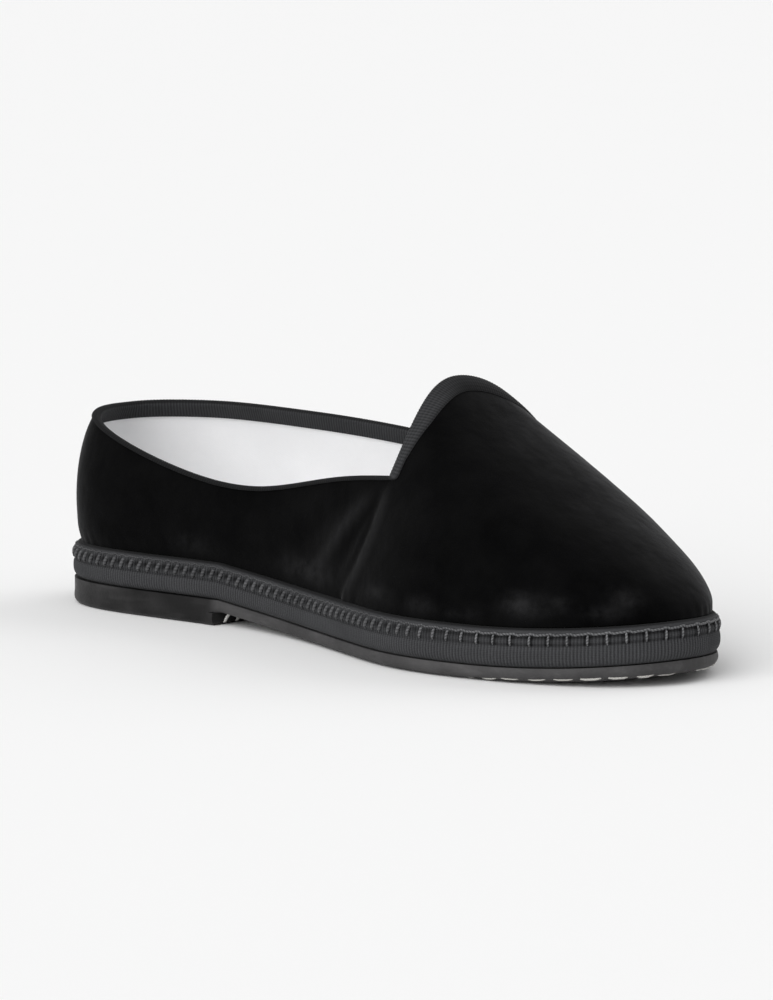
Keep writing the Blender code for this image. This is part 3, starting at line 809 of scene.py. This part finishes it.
def collar_piece(size, look):
    """The ribbed tape folded over the top edge, deeper on the tongue than on the collar."""
    skin = Skin()
    outer = BVHTree.FromPolygons([tuple(p) for p in skin.points], skin.faces)
    lining = BVHTree.FromPolygons([tuple(p) for p in skin.points - skin.level * WALL], skin.faces)
    ring = np.append(skin.edge, skin.edge[0])
    way = distances(skin.points[ring])
    end, corner = way[-1], way[skin.collar_count - 1]
    count = round(end * MM / size.collar_rib) * RIB_POINTS
    at = np.arange(count) * end / count
    rim, side = (np.column_stack([np.interp(at, way, of[ring, k]) for k in range(3)])
                 for of in (skin.points, skin.level))
    side = unit(side)
    up = unit(np.cross(np.roll(rim, -6, axis=0) - np.roll(rim, 6, axis=0), side))
    tongue = clip01(np.minimum(at - corner, end - at) / 1.2)        # 0 on the collar, 1 on the tongue
    beyond = clip01((rim[:, 1] + 16.0) / 14.0) * tongue     # over the tongue's top, where the tape thins out
    deep = 0.70 + 0.30 * clip01((rim[:, 2] - 60.0) / 11.0)  # less at the throat's corners than at the top
    deep = (size.collar_depth + (size.tongue_depth * deep - size.collar_depth) * tongue)[:, None] / MM
    inside = size.collar_inside / MM
    crest = rib_crests(count)
    swell = (size.rib_height / MM * 0.45 * (crest - 0.5))[:, None]

    def leg(wall, start, depth, off, ribbed):
        """The tape's line on a wall, at a depth below the edge and a distance off."""
        found = [wall.find_nearest(p) for p in start - up * depth]
        laid = np.array([(*spot, *normal) for spot, normal, _, _ in found])
        return laid[:, :3] + laid[:, 3:] * (off + ribbed)

    # Up outside, over the edge, down inside, and back along the wall
    low, middle = rim - side * WALL, rim - side * WALL / 2
    loops = [leg(outer, rim, deep * share, 0.10 + (thick + (thin - thick) * beyond)[:, None], swell)
             for share, thick, thin in OUTER_LEG]
    for turn in np.radians(np.arange(0.0, 181.0, 30.0)):
        out = side * math.cos(turn) * (WALL / 2 + TAPE_THICK) + up * math.sin(turn) * (TAPE_THICK + TAPE_FOLD)
        loops.append(middle + out + (side * math.cos(turn) + up * math.sin(turn)) * swell)
    loops += [leg(lining, low, inside * share, -(0.10 + thick), -swell) for share, thick in INNER_LEG]
    loops += [leg(lining, low, inside * share, -0.05, 0.0) for share in (0.97, 0.5)]
    loops += [low - side * 0.05 + up * 0.1, rim + side * 0.05 + up * 0.1]
    loops += [leg(outer, rim, deep * share, 0.05, 0.0) for share in (0.5, 0.97)]
    points, rows = np.array(loops), len(loops)
    # Painted shade over the whole tape, deeper over the tongue's top and lateral side
    hollow = np.tile(0.30 + 0.36 * beyond, (rows, 1))
    hollow[:10] += 0.62 * (1 - tongue)          # painted shade on the collar's outer leg and fold
    hollow[:2] += 0.3                           # painted shade along the lower edge, under the velvet's pile
    # Painted shade fading up from the lower edge over the tongue's top and lateral side
    hollow[2:5] += np.outer((0.28, 0.16, 0.06), beyond)
    width = np.append(0.0, np.cumsum(np.linalg.norm(np.diff(points, axis=0), axis=2).mean(1)))
    faces = quads(rows + 1, count, True) % (rows * count)
    uv = quad_uv(np.append(at, end), np.append(width, width[-1] + 0.5))
    piece = make("collar_tape", points.reshape(-1, 3), faces, [tape_finish("collar_tape", look, 0.00042)], uv,
                 {"crest": np.tile(crest, rows), "hollow": clip01(hollow).ravel()}, None, 70.0)
    return set_out(piece, "collar_binding", "collar_binding")


def stitch_bars(size):
    """The edge stitches: distance round the sole, pitch, and how far each has the waist's leaning form."""
    chance = np.random.default_rng(11)
    bars, arc = [], 0.0
    while arc < GIRTH - 2.0:
        waist = waist_share(arc)
        pitch = (size.toe_stitch + (size.waist_stitch - size.toe_stitch) * waist) / MM
        pitch *= chance.uniform(0.95, 1.05)
        bars.append((arc, pitch, waist))
        arc += pitch
    bars = np.array(bars)
    bars[:, 0] *= GIRTH / arc
    return bars


def leaning(arc, waist, up):
    """How far a stitch has moved along by its lean at a height of the tape."""
    return np.where(arc < TOE_ARC, 1.0, -1.0) * LEAN * waist * (up - STITCH_MIDDLE)


def between(bars, arc, up):
    """How deep the tape lies among the edge stitches, 0 to 1, which also sets its painted shade: boxes at the
    toe, holes along the waist, and the velvet's shade along its top.
    """
    places = np.concatenate([bars[-1:, 0] - GIRTH, bars[:, 0], bars[:1, 0] + GIRTH])
    waist = np.interp(arc, bars[:, 0], bars[:, 2])
    pitch = np.interp(arc, bars[:, 0], bars[:, 1])
    here = arc - leaning(arc, waist, up)
    k = np.clip(np.searchsorted(places, here), 1, len(places) - 1)
    gap = np.minimum(here - places[k - 1], places[k] - here)
    within = clip01((up - BOX_FOOT) / 0.4) * clip01((BOX_TOP - up) / 0.4)
    # A box has painted shade along its top, less along its foot, and beside its bars
    rim = 0.8 * bell(up, 8.9, 0.6) + 0.55 * bell(up, 6.6, 0.45) + 0.5 * bell(gap, 0.8, 0.4)
    box = within * clip01(0.06 + rim)
    # A hole has painted shade, darkest midway between two stitches, with a painted dark line below it
    hole = bell(up, HOLE_MIDDLE, 1.2) * clip01(gap * 3.0 / pitch - 0.3)
    hole = clip01(hole + 0.5 * bell(up, LOWER_LINE, 0.45))
    shade = clip01((up - VELVET_SHADE) / 0.6) * 0.9
    return np.maximum(box * (1 - waist) + hole * waist, shade)


def drawn_in(up):
    """How far the edge stitches draw the tape's side in at a height."""
    return 0.22 * bell(up, LOWER_LINE, 0.6) + 0.18 * bell(up, UPPER_LINE, 0.6)


def tape_side(up):
    """Inset of the edge tape's side at a height."""
    inset, height, _ = profile(TAPE_EDGE, 60)
    return np.interp(up, height, inset) + drawn_in(up)


def edge_tape_piece(size, look, bars):
    """The cloth sole body, its side wrapped in tape with fine upright ribs."""
    count = round(GIRTH * MM / size.edge_rib) * RIB_POINTS
    arc = np.arange(count) * GIRTH / count
    deg = degrees_at(arc)
    inset, up, way = profile(TAPE_EDGE, 30)
    crest = rib_crests(count)
    loops, hollow, ribbed = [], [], []
    for k, height in enumerate(up):
        show = clip01(k / 3.0) * clip01((10.3 - height) / 0.8)      # ribs flatten out at both edges
        deep = between(bars, arc, height)
        sunk = drawn_in(height) + 0.42 * deep * (height < 10.0)
        plan = outline(deg, inset[k] + sunk - size.rib_height / MM * show * (crest - 0.5))
        loops.append(np.column_stack([plan, band_low(plan[:, 0]) + height]))
        hollow.append(deep)
        ribbed.append(0.62 + (crest - 0.62) * show)
    rows, points = len(loops), np.vstack(loops)
    lids = across(0, count) + across((rows - 1) * count, count)
    uv = quad_uv(np.append(arc, GIRTH), way)
    flat = points[np.concatenate([np.array(lid) for lid in lids])][:, :2]
    piece = make("edge_tape", points, quads(rows, count, True).tolist() + lids,
                 [tape_finish("edge_tape", look, 0.0005)], np.vstack([uv, flat]),
                 {"crest": np.concatenate(ribbed), "hollow": np.concatenate(hollow)}, None, 50.0)
    return set_out(piece, "midsole", "midsole")


def on_tape(arc, up, off):
    """Points on the edge tape's side, and the way out of it."""
    deg = degrees_at(arc)
    flat = deg.ravel()
    plan = outline(flat, tape_side(up.ravel()) - off.ravel())
    points = np.column_stack([plan, band_low(plan[:, 0]) + up.ravel()])
    outs = np.column_stack([out_of(flat), np.zeros(flat.size)])
    return points.reshape(*deg.shape, 3), outs.reshape(*deg.shape, 3)


def edge_stitch_piece(size, look, bars):
    """Black overcast stitches round the edge tape, upright at the toe, broad and leaning along the waist."""
    chance = np.random.default_rng(12)
    mid, _, waist = (bars[:, k:k + 1] for k in range(3))
    share = np.linspace(0.0, 1.0, STITCH_POINTS)[None]

    # The bars: heights along each, how far it leans and how far it stands off the tape
    low = BAR_FOOT - 0.25 * waist + chance.uniform(-0.15, 0.15, mid.shape)
    up = low + (BAR_LENGTH + 0.4 * waist + chance.uniform(-0.15, 0.15, mid.shape)) * share
    lean = leaning(mid, waist, up) + chance.uniform(-0.07, 0.07, mid.shape) * (up - STITCH_MIDDLE)
    off = 0.34 * np.sin(np.pi * np.clip(share, 0.03, 0.97)) ** 0.5 - 0.10
    paths, outs = on_tape(mid + lean, up, np.broadcast_to(off, up.shape))
    radii = size.edge_thread / 2 / MM * (1.0 + 0.9 * waist) * EDGE_TAPER
    points, faces, uv = tubes(paths, outs, radii, EDGE_FLAT, EDGE_SIDES, False)
    # Painted highlight: the toe's stitches paler than the waist's, each a little different
    gleam = (1.0 - 0.62 * waist[:, 0]) * chance.uniform(0.75, 1.0, len(bars))
    gleam = np.repeat(gleam, STITCH_POINTS * EDGE_SIDES)

    # The rail that the bars hang from, wavy by their pull
    arc = np.linspace(0.0, GIRTH, 1400, endpoint=False)[None]
    toe = 1.0 - waist_share(arc)
    phase = np.interp(arc, bars[:, 0], np.arange(len(bars)))
    wave = 0.16 * np.cos(2 * np.pi * phase) + 0.10 * np.sin(2 * np.pi * arc / 2.9)
    rail, rail_outs = on_tape(arc, RAIL_HEIGHT - 0.5 * toe + wave, 0.14 + 0.4 * wave)
    more, more_faces, more_uv = tubes(rail, rail_outs, 0.24 + 0.12 * toe, RAIL_FLAT, RAIL_SIDES, True)
    faces += [[k + len(points) for k in face] for face in more_faces]
    # Painted highlight: the rail paler round the toe
    gleam = np.append(gleam, np.repeat(0.28 + 0.42 * toe[0], RAIL_SIDES))
    piece = make("edge_stitches", np.vstack([points, more]), faces,
                 [thread_finish("black_thread", look.thread_low, look.thread_high, 0.42)],
                 np.vstack([uv, more_uv]), {"gleam": gleam}, None, 80.0)
    return set_out(piece, "midsole")


def stitch_lines():
    """Plan lines of the running stitches, toe to heel, as close points."""
    side = np.linspace(1.0, 179.0, 400)
    toe = clip01((side - 119.0) / 16.0)         # round the toe and the heel they run nearer to the edge
    reach = LINE_INSET - 4.0 * toe * toe * (3 - 2 * toe) - 0.8 * bell(side, 14.0, 16.0)
    x = np.linspace(HEEL_POINT, TOE_POINT, 900)
    share = (x - HEEL_POINT) / (TOE_POINT - HEEL_POINT)
    ease = clip01(np.minimum(share / 0.05, (1 - share) / 0.012)) ** 0.5

    def across_at(line):
        """Where a side's outermost line runs at each x, drawn to the middle at both ends."""
        ends = (line[:, 0] - line[0, 0]) / (line[-1, 0] - line[0, 0])
        return -MIDDLE + (np.interp(share, ends, line[:, 1]) + MIDDLE) * ease

    low, high = across_at(outline(side, reach)), across_at(outline(360.0 - side, reach + 0.5))
    lines = []
    for j, (toe_stop, heel_stop) in enumerate(LINE_STOPS):
        y = low + (high - low) * j / (len(LINE_STOPS) - 1.0)
        line = np.column_stack([x, y])[::-1]
        way = distances(line)
        lines.append(line[(way >= toe_stop) & (way <= way[-1] - heel_stop)])
    return lines


def furrow(plan, lines, depth):
    """Depth of the furrows that the running stitches draw into the rubber, at plan points."""
    line = np.vstack([points[::3] for points in lines])
    depth = depth * clip01((inset_of(plan) - 1.2) / 2.5)
    out = np.zeros(len(plan))
    for k in range(0, len(plan), 2000):
        gap = ((plan[k:k + 2000, None] - line[None]) ** 2).sum(-1).min(1)
        out[k:k + 2000] = depth[k:k + 2000] * np.exp(-gap / FURROW_HALF ** 2)
    return out


def outsole_base(inset):
    """Height of the outsole's lower face above its underside, by the inset from the outline."""
    side, height, _ = profile(OUTSOLE_EDGE, 80)
    low = height < 2.2
    order = np.argsort(side[low])
    return np.interp(inset, side[low][order], height[low][order], right=0.0)


def outsole_piece(size, look, lines):
    """The rubber sheet, its lower edge rounded up to the side, its underside quilted by the stitches."""
    count, cross = 240, 140         # points round the sheet and from side to side of its underside
    half = count // 2
    deg = np.arange(count) * 360.0 / count
    inset, up, _ = profile(OUTSOLE_EDGE, 22)
    inset, up = np.append((7.0, 6.2, 5.4), inset), np.append(np.zeros(3), up)       # first the flat underside
    heel = heel_share(outline(deg)[:, 0])
    loops = []
    for i, h in zip(inset, up):
        plan = outline(deg, i + (min(i, HEEL_SIDE) - i) * heel * (i < 5.0))
        loops.append(np.column_stack([plan, rise(plan[:, 0]) + h - GAP * heel * (h < 1.0) * 0.8]))
    points = np.vstack(loops)
    faces = quads(len(loops), count, True).tolist() + across((len(loops) - 1) * count, count)
    share = np.linspace(0.0, 1.0, cross + 1)[1:-1, None]
    inner = np.vstack([points[i] + (points[count - i] - points[i]) * share for i in range(1, half)])
    inner[:, 2] = rise(inner[:, 0])
    number = len(points) + np.arange(len(inner)).reshape(half - 1, cross - 1)
    table = np.column_stack([np.arange(1, half), number, count - np.arange(1, half)])
    faces += [(table[r, c], table[r, c + 1], table[r + 1, c + 1], table[r + 1, c])
              for r in range(half - 2) for c in range(cross)]
    faces += [(0, table[0, c + 1], table[0, c]) for c in range(cross)]
    faces += [(half, table[-1, c], table[-1, c + 1]) for c in range(cross)]
    points = np.vstack([points, inner])
    under = np.append(np.repeat(up < 2.0, count), np.ones(len(inner), bool))
    plan = points[under, :2]
    x, y = plan.T
    uneven = 0.10 + 0.10 * np.sin(x / 7.0 + np.sin(y / 9.0)) * np.sin(y / 6.0 + 0.7)
    points[under, 2] += furrow(plan, lines, size.furrow / MM)
    points[under, 2] += uneven * (inset_of(plan) > 5.0)     # the rounded edge stays even
    piece = make("outsole_rubber", points, faces, [rubber_finish("outsole_rubber", look)],
                 values={"heel": heel_share(points[:, 0])}, smooth=50.0)
    return set_out(piece, "outsole", "outsole")


def heel_piece(size, look, lines):
    """The block under the heel, from the heel end to a straight breast, quilted as the outsole is."""
    end = math.degrees(math.acos(1 - 2 * HEEL_END))
    deg = np.linspace(end, -end, 150)
    over = np.linspace(0.0, 1.0, 62)[1:-1, None]            # shares of the way along the breast
    inset, up, _ = profile(LIFT_EDGE, 12)
    up += clip01((up - 1.0) / (LIFT_THICK - 1.0)) * GAP * 0.8
    loops = []
    for i, h in zip(inset, up):
        side = outline(deg, i)
        front = side[-1] + (side[0] - side[-1]) * over
        front[:, 0] -= clip01(0.8 - h) * 0.7                # the breast's lower edge is rounded
        plan = np.vstack([side, front])
        loops.append(np.column_stack([plan, np.full(len(plan), h)]))
    count = len(loops[0])
    centre = np.array([-88.0, -1.0])                        # the underside's rings close in on it
    rings = [np.column_stack([centre + (loops[0][:, :2] - centre) * share, np.zeros(count)])
             for share in np.linspace(0.985, 0.04, 52)]
    stack = rings[::-1] + loops
    points = np.vstack(stack + [[(*centre, 0.0), (*centre, up[-1])]])
    under = points[:, 2] < 0.35
    points[under, 2] += furrow(points[under, :2], lines, size.furrow / MM)
    knot = np.exp(-((points[:, 0] - HEEL_POINT - 2.0) ** 2 + (points[:, 1] + MIDDLE) ** 2) / 9.0)
    points[under, 2] += 0.5 * knot[under]                   # the hollow that the end knot lies in
    faces = quads(len(stack), count, True).tolist()
    ring = np.arange(count)
    after, lid, middle = (ring + 1) % count, (len(stack) - 1) * count, np.full(count, len(points) - 2)
    faces += np.stack([middle, after, ring], -1).tolist()
    faces += np.stack([middle + 1, lid + ring, lid + after], -1).tolist()
    piece = make("heel_rubber", points, faces, [rubber_finish("heel_rubber", look)],
                 values={"heel": clip01(points[:, 2] / 0.6)}, smooth=40.0)
    return set_out(piece, "heel_lift", "heel_lift")


def running_stitches(size, lines, chance):
    """Plan points of every running stitch, line after line, and of the threads of the end knot."""
    length, gap = size.sole_stitch / MM, size.sole_gap / MM
    paths = []
    for line in lines:
        on_sheet = line[:, 0] > BREAST
        for part in (line[on_sheet][::-1], line[~on_sheet]):    # each from the heel's breast outward
            way = distances(part)
            at = chance.uniform(0.5, 1.3) + length / 2
            while at < way[-1] - length * 0.3:
                long = length * chance.uniform(0.88, 1.10)
                spots = np.clip(at + ALONG * long, 0.0, way[-1])
                plan = np.column_stack([np.interp(spots, way, part[:, k]) for k in range(2)])
                shift = chance.uniform(-0.16, 0.16)
                plan[:, 1] += shift + np.linspace(-1, 1, STITCH_POINTS) * chance.uniform(-0.22, 0.22)
                paths.append(plan)
                at += long + gap * chance.uniform(0.7, 1.35)
    knot = np.array([HEEL_POINT + 1.5, -MIDDLE])
    for turn, reach in KNOT:
        paths.append(knot + np.outer(ALONG * 2, (math.cos(turn) * reach, math.sin(turn) * reach)))
    return np.array(paths)


def sole_stitch_piece(size, look, lines):
    """White running stitches in the furrows of the outsole and the heel, over its step, and the end knot."""
    chance = np.random.default_rng(5)
    thread = size.sole_thread / 2 / MM
    paths = running_stitches(size, lines, chance)
    flat = paths.reshape(-1, 2)
    inset = inset_of(flat)
    on_heel = flat[:, 0] < BREAST
    base = np.where(on_heel, 0.0, rise(flat[:, 0]) + outsole_base(inset))
    slope = (outsole_base(inset - 0.3) - outsole_base(inset + 0.3)) / 0.6 * ~on_heel
    steep = clip01(slope / 0.5)         # 1 on the sheet's rounded edge
    deep = furrow(flat, lines, size.furrow / MM)
    sunk = np.maximum(deep * 0.62, (thread * SOLE_FLAT + 0.05) * (1 - steep))
    dip = np.tile((np.abs(ALONG) / 0.5) ** 6 * 0.75, len(paths))
    away = unit(EDGE[edge_point(flat, 3)] - flat)
    outs = unit(np.column_stack([away * slope[:, None], -np.ones(len(flat))]))
    points = np.column_stack([flat, base + sunk + dip]) + outs * (0.05 * steep)[:, None]
    ahead, drop = np.array(STEP).T
    x, z = BREAST + ahead, drop * rise(BREAST + 2.0)
    step = [np.column_stack([x, np.interp(x, line[::-1, 0], line[::-1, 1]), z]) for line in lines]
    points = np.concatenate([points.reshape(-1, STITCH_POINTS, 3), step])
    outs = np.concatenate([outs.reshape(-1, STITCH_POINTS, 3),
                           np.tile((0.7, 0.0, -0.7), (len(step), STITCH_POINTS, 1))])
    steep = np.append(steep, np.zeros(len(step) * STITCH_POINTS)).reshape(-1, STITCH_POINTS)
    soil = chance.uniform(0.0, 1.0, (len(points), 1))       # how worn each stitch is on the sheet's edge
    worn = steep * (0.18 + 0.42 * soil)
    points, faces, uv = tubes(points, outs, thread * SOLE_TAPER * (1 - worn), SOLE_FLAT, SOLE_SIDES, False)
    # Darker on the sheet's rounded edge, and where a stitch is worn
    gleam = np.repeat(1.0 - 0.62 * steep - worn * 0.6, SOLE_SIDES)
    piece = make("sole_stitches", points, faces,
                 [thread_finish("white_thread", look.white_low, look.white_high, 0.62)], uv,
                 {"gleam": gleam}, None, 80.0)
    return set_out(piece, "outsole")


def insole_piece(look):
    """The lined board, from the model's own, drawn out to the lining and with its edge rounded over."""
    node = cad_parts["insole"]
    piece = node.copy()
    piece.data = node.data.copy()
    piece.name = piece.data.name = "insole_cotton"
    piece.parent = None
    for key in list(piece.keys()):
        del piece[key]
    bpy.context.scene.collection.objects.link(piece)
    lone(piece)
    bpy.ops.object.mode_set(mode="EDIT")
    bpy.ops.mesh.select_all(action="SELECT")
    bpy.ops.mesh.remove_doubles(threshold=0.00001)
    flat = math.radians(60)
    bpy.ops.mesh.tris_convert_to_quads(face_threshold=flat, shape_threshold=flat)
    bpy.ops.transform.resize(value=TO_LINING, center_override=(0.0, 0.0, 0.0))
    bpy.ops.mesh.select_all(action="DESELECT")
    bpy.ops.mesh.select_mode(type="EDGE")
    bpy.ops.mesh.edges_select_sharp(sharpness=flat)
    bpy.ops.mesh.bevel(offset=0.0003, segments=3, affect="EDGES")
    bpy.ops.object.mode_set(mode="OBJECT")
    bpy.ops.object.shade_smooth_by_angle(angle=math.radians(50))
    piece.data.materials.clear()
    piece.data.materials.append(cotton_finish("insole_cotton", look, False))
    return set_out(piece, "insole", "insole")


def a_colour(name, text, value):
    """A setting for one colour."""
    return FloatVectorProperty(name=name, description=text, subtype="COLOR", size=3, min=0.0, max=1.0,
                               default=value)


def a_length(name, text, value):
    """A setting for one length in metres."""
    return FloatProperty(name=name, description=text, unit="LENGTH", default=value, precision=5)


def an_angle(name, text, degrees):
    """A setting for one angle."""
    return FloatProperty(name=name, description=text, subtype="ANGLE", default=math.radians(degrees))


def toward(bearing, height):
    """The way to a place round the slipper, by its bearing from the medial side and its height."""
    return Vector((math.sin(bearing) * math.cos(height), -math.cos(bearing) * math.cos(height),
                   math.sin(height)))


class SlipperSizes(bpy.types.PropertyGroup):
    """Sizes of the tape, its ribs and the stitches."""
    edge_rib: a_length("Edge rib", "Distance between the ribs of the edge tape", 0.00108)
    collar_rib: a_length("Collar rib", "Distance between the ribs of the collar tape", 0.00105)
    rib_height: a_length("Rib height", "How far a rib of the edge tape stands out", 0.00026)
    collar_depth: a_length("Collar depth", "How far the tape comes down outside the collar", 0.0008)
    collar_inside: a_length("Collar inside", "How far the tape comes down inside", 0.0046)
    tongue_depth: a_length("Tongue depth", "How far the tape comes down outside the tongue", 0.0062)
    toe_stitch: a_length("Toe stitch", "Pitch of the edge stitches at the toe", 0.0059)
    waist_stitch: a_length("Waist stitch", "Pitch of the edge stitches along the waist and heel", 0.0039)
    edge_thread: a_length("Edge thread", "Thickness of the black thread", 0.00074)
    sole_stitch: a_length("Sole stitch", "Length of a white running stitch", 0.0064)
    sole_gap: a_length("Sole gap", "Gap between running stitches", 0.0013)
    sole_thread: a_length("Sole thread", "Width of the white thread", 0.0012)
    furrow: a_length("Furrow", "Depth of the furrow that the running stitches draw in", 0.00078)


class SlipperColours(bpy.types.PropertyGroup):
    """Colours of the slipper's finishes and of the floor."""
    velvet_deep: a_colour("Velvet deep", "Pile that points at the viewer", (0.0003, 0.0003, 0.0004))
    velvet_lit: a_colour("Velvet lit", "Pile that lies flat", (0.0033, 0.0033, 0.0034))
    # Painted highlight and painted sheen: pale velvet over seams, fold ridges, pale patches and the vamp's
    # lateral half, partly worn pile
    velvet_wear_and_highlight: a_colour("Velvet worn", "Pile opened along a seam or brushed over", (0.026, 0.026, 0.027))
    # Painted highlight and shade: tape on its ribs paler than between them
    tape_low: a_colour("Tape between ribs", "Black tape between its ribs", (0.011, 0.0112, 0.012))
    tape_high: a_colour("Tape on ribs", "Black tape on its ribs", (0.070, 0.0711, 0.0748))
    # Painted shade: tape among the edge stitches, under the velvet and over the collar tape
    tape_painted_shade: a_colour("Tape in hollows", "Black tape among the edge stitches", (0.0030, 0.0030, 0.0033))
    # Painted highlight on the plies and painted shade between them
    thread_low: a_colour("Black thread between plies", "Black thread, deep", (0.022, 0.022, 0.024))
    thread_high: a_colour("Black thread on plies", "Black thread, lit", (0.26, 0.262, 0.27))
    white_low: a_colour("White thread between plies", "White thread, soiled", (0.42, 0.41, 0.385))
    white_high: a_colour("White thread on plies", "White thread, clean", (0.95, 0.95, 0.93))
    rubber_low: a_colour("Rubber", "Outsole rubber, clean", (0.030, 0.0294, 0.030))
    rubber_high: a_colour("Rubber bloom", "Outsole rubber, dusty", (0.102, 0.0992, 0.1005))
    # Partly painted shade: the heel's colour is darker than its rubber alone
    heel: a_colour("Heel rubber", "Smooth side of the heel", (0.0060, 0.0058, 0.0059))
    cotton: a_colour("Cotton", "White cotton", (0.92, 0.92, 0.925))
    cotton_shade: a_colour("Cotton shade", "White cotton between its threads", (0.82, 0.82, 0.83))
    floor: a_colour("Floor", "Pale floor", (0.915, 0.915, 0.915))


class SlipperStage(bpy.types.PropertyGroup):
    """The camera's place round the slipper."""
    azimuth: an_angle("Azimuth", "Angle of the camera round the slipper", 46.3)
    elevation: an_angle("Elevation", "Angle of the camera above the floor", 7.3)
    distance: a_length("Distance", "From the camera to the slipper", 1.485)
    lens: FloatProperty(name="Lens", description="Focal length on a 36 mm frame", unit="CAMERA",
                        default=172.8)


class SLIPPER_OT_stage(bpy.types.Operator):
    """Sets up the camera, the pale floor and the soft light"""
    bl_idname = "slipper.stage"
    bl_label = "Stage"

    def execute(self, context):
        stage, look = context.scene.slipper_stage, context.scene.slipper_colours
        low, high = CAD_BOX
        aim = (Vector(low) + Vector(high)) / 2
        back = toward(stage.azimuth, stage.elevation)
        bpy.ops.object.camera_add(location=aim + back * stage.distance)
        camera = context.object
        camera.name = "camera"
        camera.rotation_mode = "QUATERNION"
        camera.rotation_quaternion = (-back).to_track_quat("-Z", "Y")
        camera.data.lens, camera.data.sensor_width = stage.lens, 36.0
        camera.data.clip_start, camera.data.clip_end = 0.05, 100.0
        context.scene.camera = camera
        bpy.ops.object.select_all(action="DESELECT")
        bpy.ops.mesh.primitive_plane_add(size=FLOOR_SIZE, location=(0.0, 0.0, -FLOOR_DROP))
        floor = context.object
        floor.name = "floor"
        bpy.ops.object.mode_set(mode="EDIT")
        bpy.ops.mesh.subdivide(number_cuts=9)
        bpy.ops.object.mode_set(mode="OBJECT")
        floor.data.materials.append(floor_finish(look))
        world = bpy.data.worlds.new("soft_room")
        world.use_nodes = True
        room = world.node_tree.nodes["Background"]
        room.inputs["Color"].default_value = (1.0, 1.0, 1.0, 1.0)
        room.inputs["Strength"].default_value = ROOM_LIGHT
        context.scene.world = world
        for name, bearing, height, strength, spread in LIGHTS:
            bpy.ops.object.light_add(type="SUN")
            lamp = context.object
            lamp.name = name + "_light"
            lamp.data.energy, lamp.data.angle = strength, math.radians(spread)
            way = toward(math.radians(bearing), math.radians(height))
            lamp.rotation_mode = "QUATERNION"
            lamp.rotation_quaternion = way.to_track_quat("Z", "Y")
        context.scene.view_settings.view_transform = "Standard"
        return {"FINISHED"}


class SLIPPER_OT_upper(bpy.types.Operator):
    """Makes the velvet upper with its cotton lining"""
    bl_idname = "slipper.upper"
    bl_label = "Velvet upper"

    def execute(self, context):
        upper_piece(context.scene.slipper_colours)
        return {"FINISHED"}


class SLIPPER_OT_collar_tape(bpy.types.Operator):
    """Folds the ribbed tape over the collar and the tongue"""
    bl_idname = "slipper.collar_tape"
    bl_label = "Collar tape"

    def execute(self, context):
        collar_piece(context.scene.slipper_sizes, context.scene.slipper_colours)
        return {"FINISHED"}


class SLIPPER_OT_edge(bpy.types.Operator):
    """Wraps the sole body in ribbed tape and overcasts it"""
    bl_idname = "slipper.edge"
    bl_label = "Edge tape and stitches"

    def execute(self, context):
        size, look = context.scene.slipper_sizes, context.scene.slipper_colours
        bars = stitch_bars(size)
        edge_tape_piece(size, look, bars)
        edge_stitch_piece(size, look, bars)
        return {"FINISHED"}


class SLIPPER_OT_sole(bpy.types.Operator):
    """Makes the quilted rubber outsole and heel with their white running stitches"""
    bl_idname = "slipper.sole"
    bl_label = "Outsole, heel and stitches"

    def execute(self, context):
        size, look = context.scene.slipper_sizes, context.scene.slipper_colours
        lines = stitch_lines()
        outsole_piece(size, look, lines)
        heel_piece(size, look, lines)
        sole_stitch_piece(size, look, lines)
        return {"FINISHED"}


class SLIPPER_OT_insole(bpy.types.Operator):
    """Covers the insole board in white cotton"""
    bl_idname = "slipper.insole"
    bl_label = "Insole"

    def execute(self, context):
        insole_piece(context.scene.slipper_colours)
        return {"FINISHED"}


OPERATORS = (SLIPPER_OT_stage, SLIPPER_OT_upper, SLIPPER_OT_collar_tape, SLIPPER_OT_edge, SLIPPER_OT_sole,
             SLIPPER_OT_insole)


class SLIPPER_PT_panel(bpy.types.Panel):
    """Lists the slipper's settings and the steps that make it"""
    bl_idname = "SLIPPER_PT_panel"
    bl_label = "Velvet slipper"
    bl_space_type = "VIEW_3D"
    bl_region_type = "UI"
    bl_category = "Slipper"

    def draw(self, context):
        scene = context.scene
        for group in (scene.slipper_sizes, scene.slipper_colours, scene.slipper_stage):
            box = self.layout.box()
            for key in group.bl_rna.properties.keys():
                if key not in ("rna_type", "name"):
                    box.prop(group, key)
        for operator in OPERATORS:
            self.layout.operator(operator.bl_idname)


CLASSES = (SlipperSizes, SlipperColours, SlipperStage) + OPERATORS + (SLIPPER_PT_panel,)


def register():
    for made in CLASSES:
        bpy.utils.register_class(made)
    bpy.types.Scene.slipper_sizes = PointerProperty(type=SlipperSizes)
    bpy.types.Scene.slipper_colours = PointerProperty(type=SlipperColours)
    bpy.types.Scene.slipper_stage = PointerProperty(type=SlipperStage)


def unregister():
    del bpy.types.Scene.slipper_sizes, bpy.types.Scene.slipper_colours, bpy.types.Scene.slipper_stage
    for made in reversed(CLASSES):
        bpy.utils.unregister_class(made)


def main():
    """Registers the add-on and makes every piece."""
    register()
    bpy.ops.slipper.stage()
    bpy.ops.slipper.upper()
    bpy.ops.slipper.collar_tape()
    bpy.ops.slipper.edge()
    bpy.ops.slipper.sole()
    bpy.ops.slipper.insole()


if __name__ == "__main__":
    main()
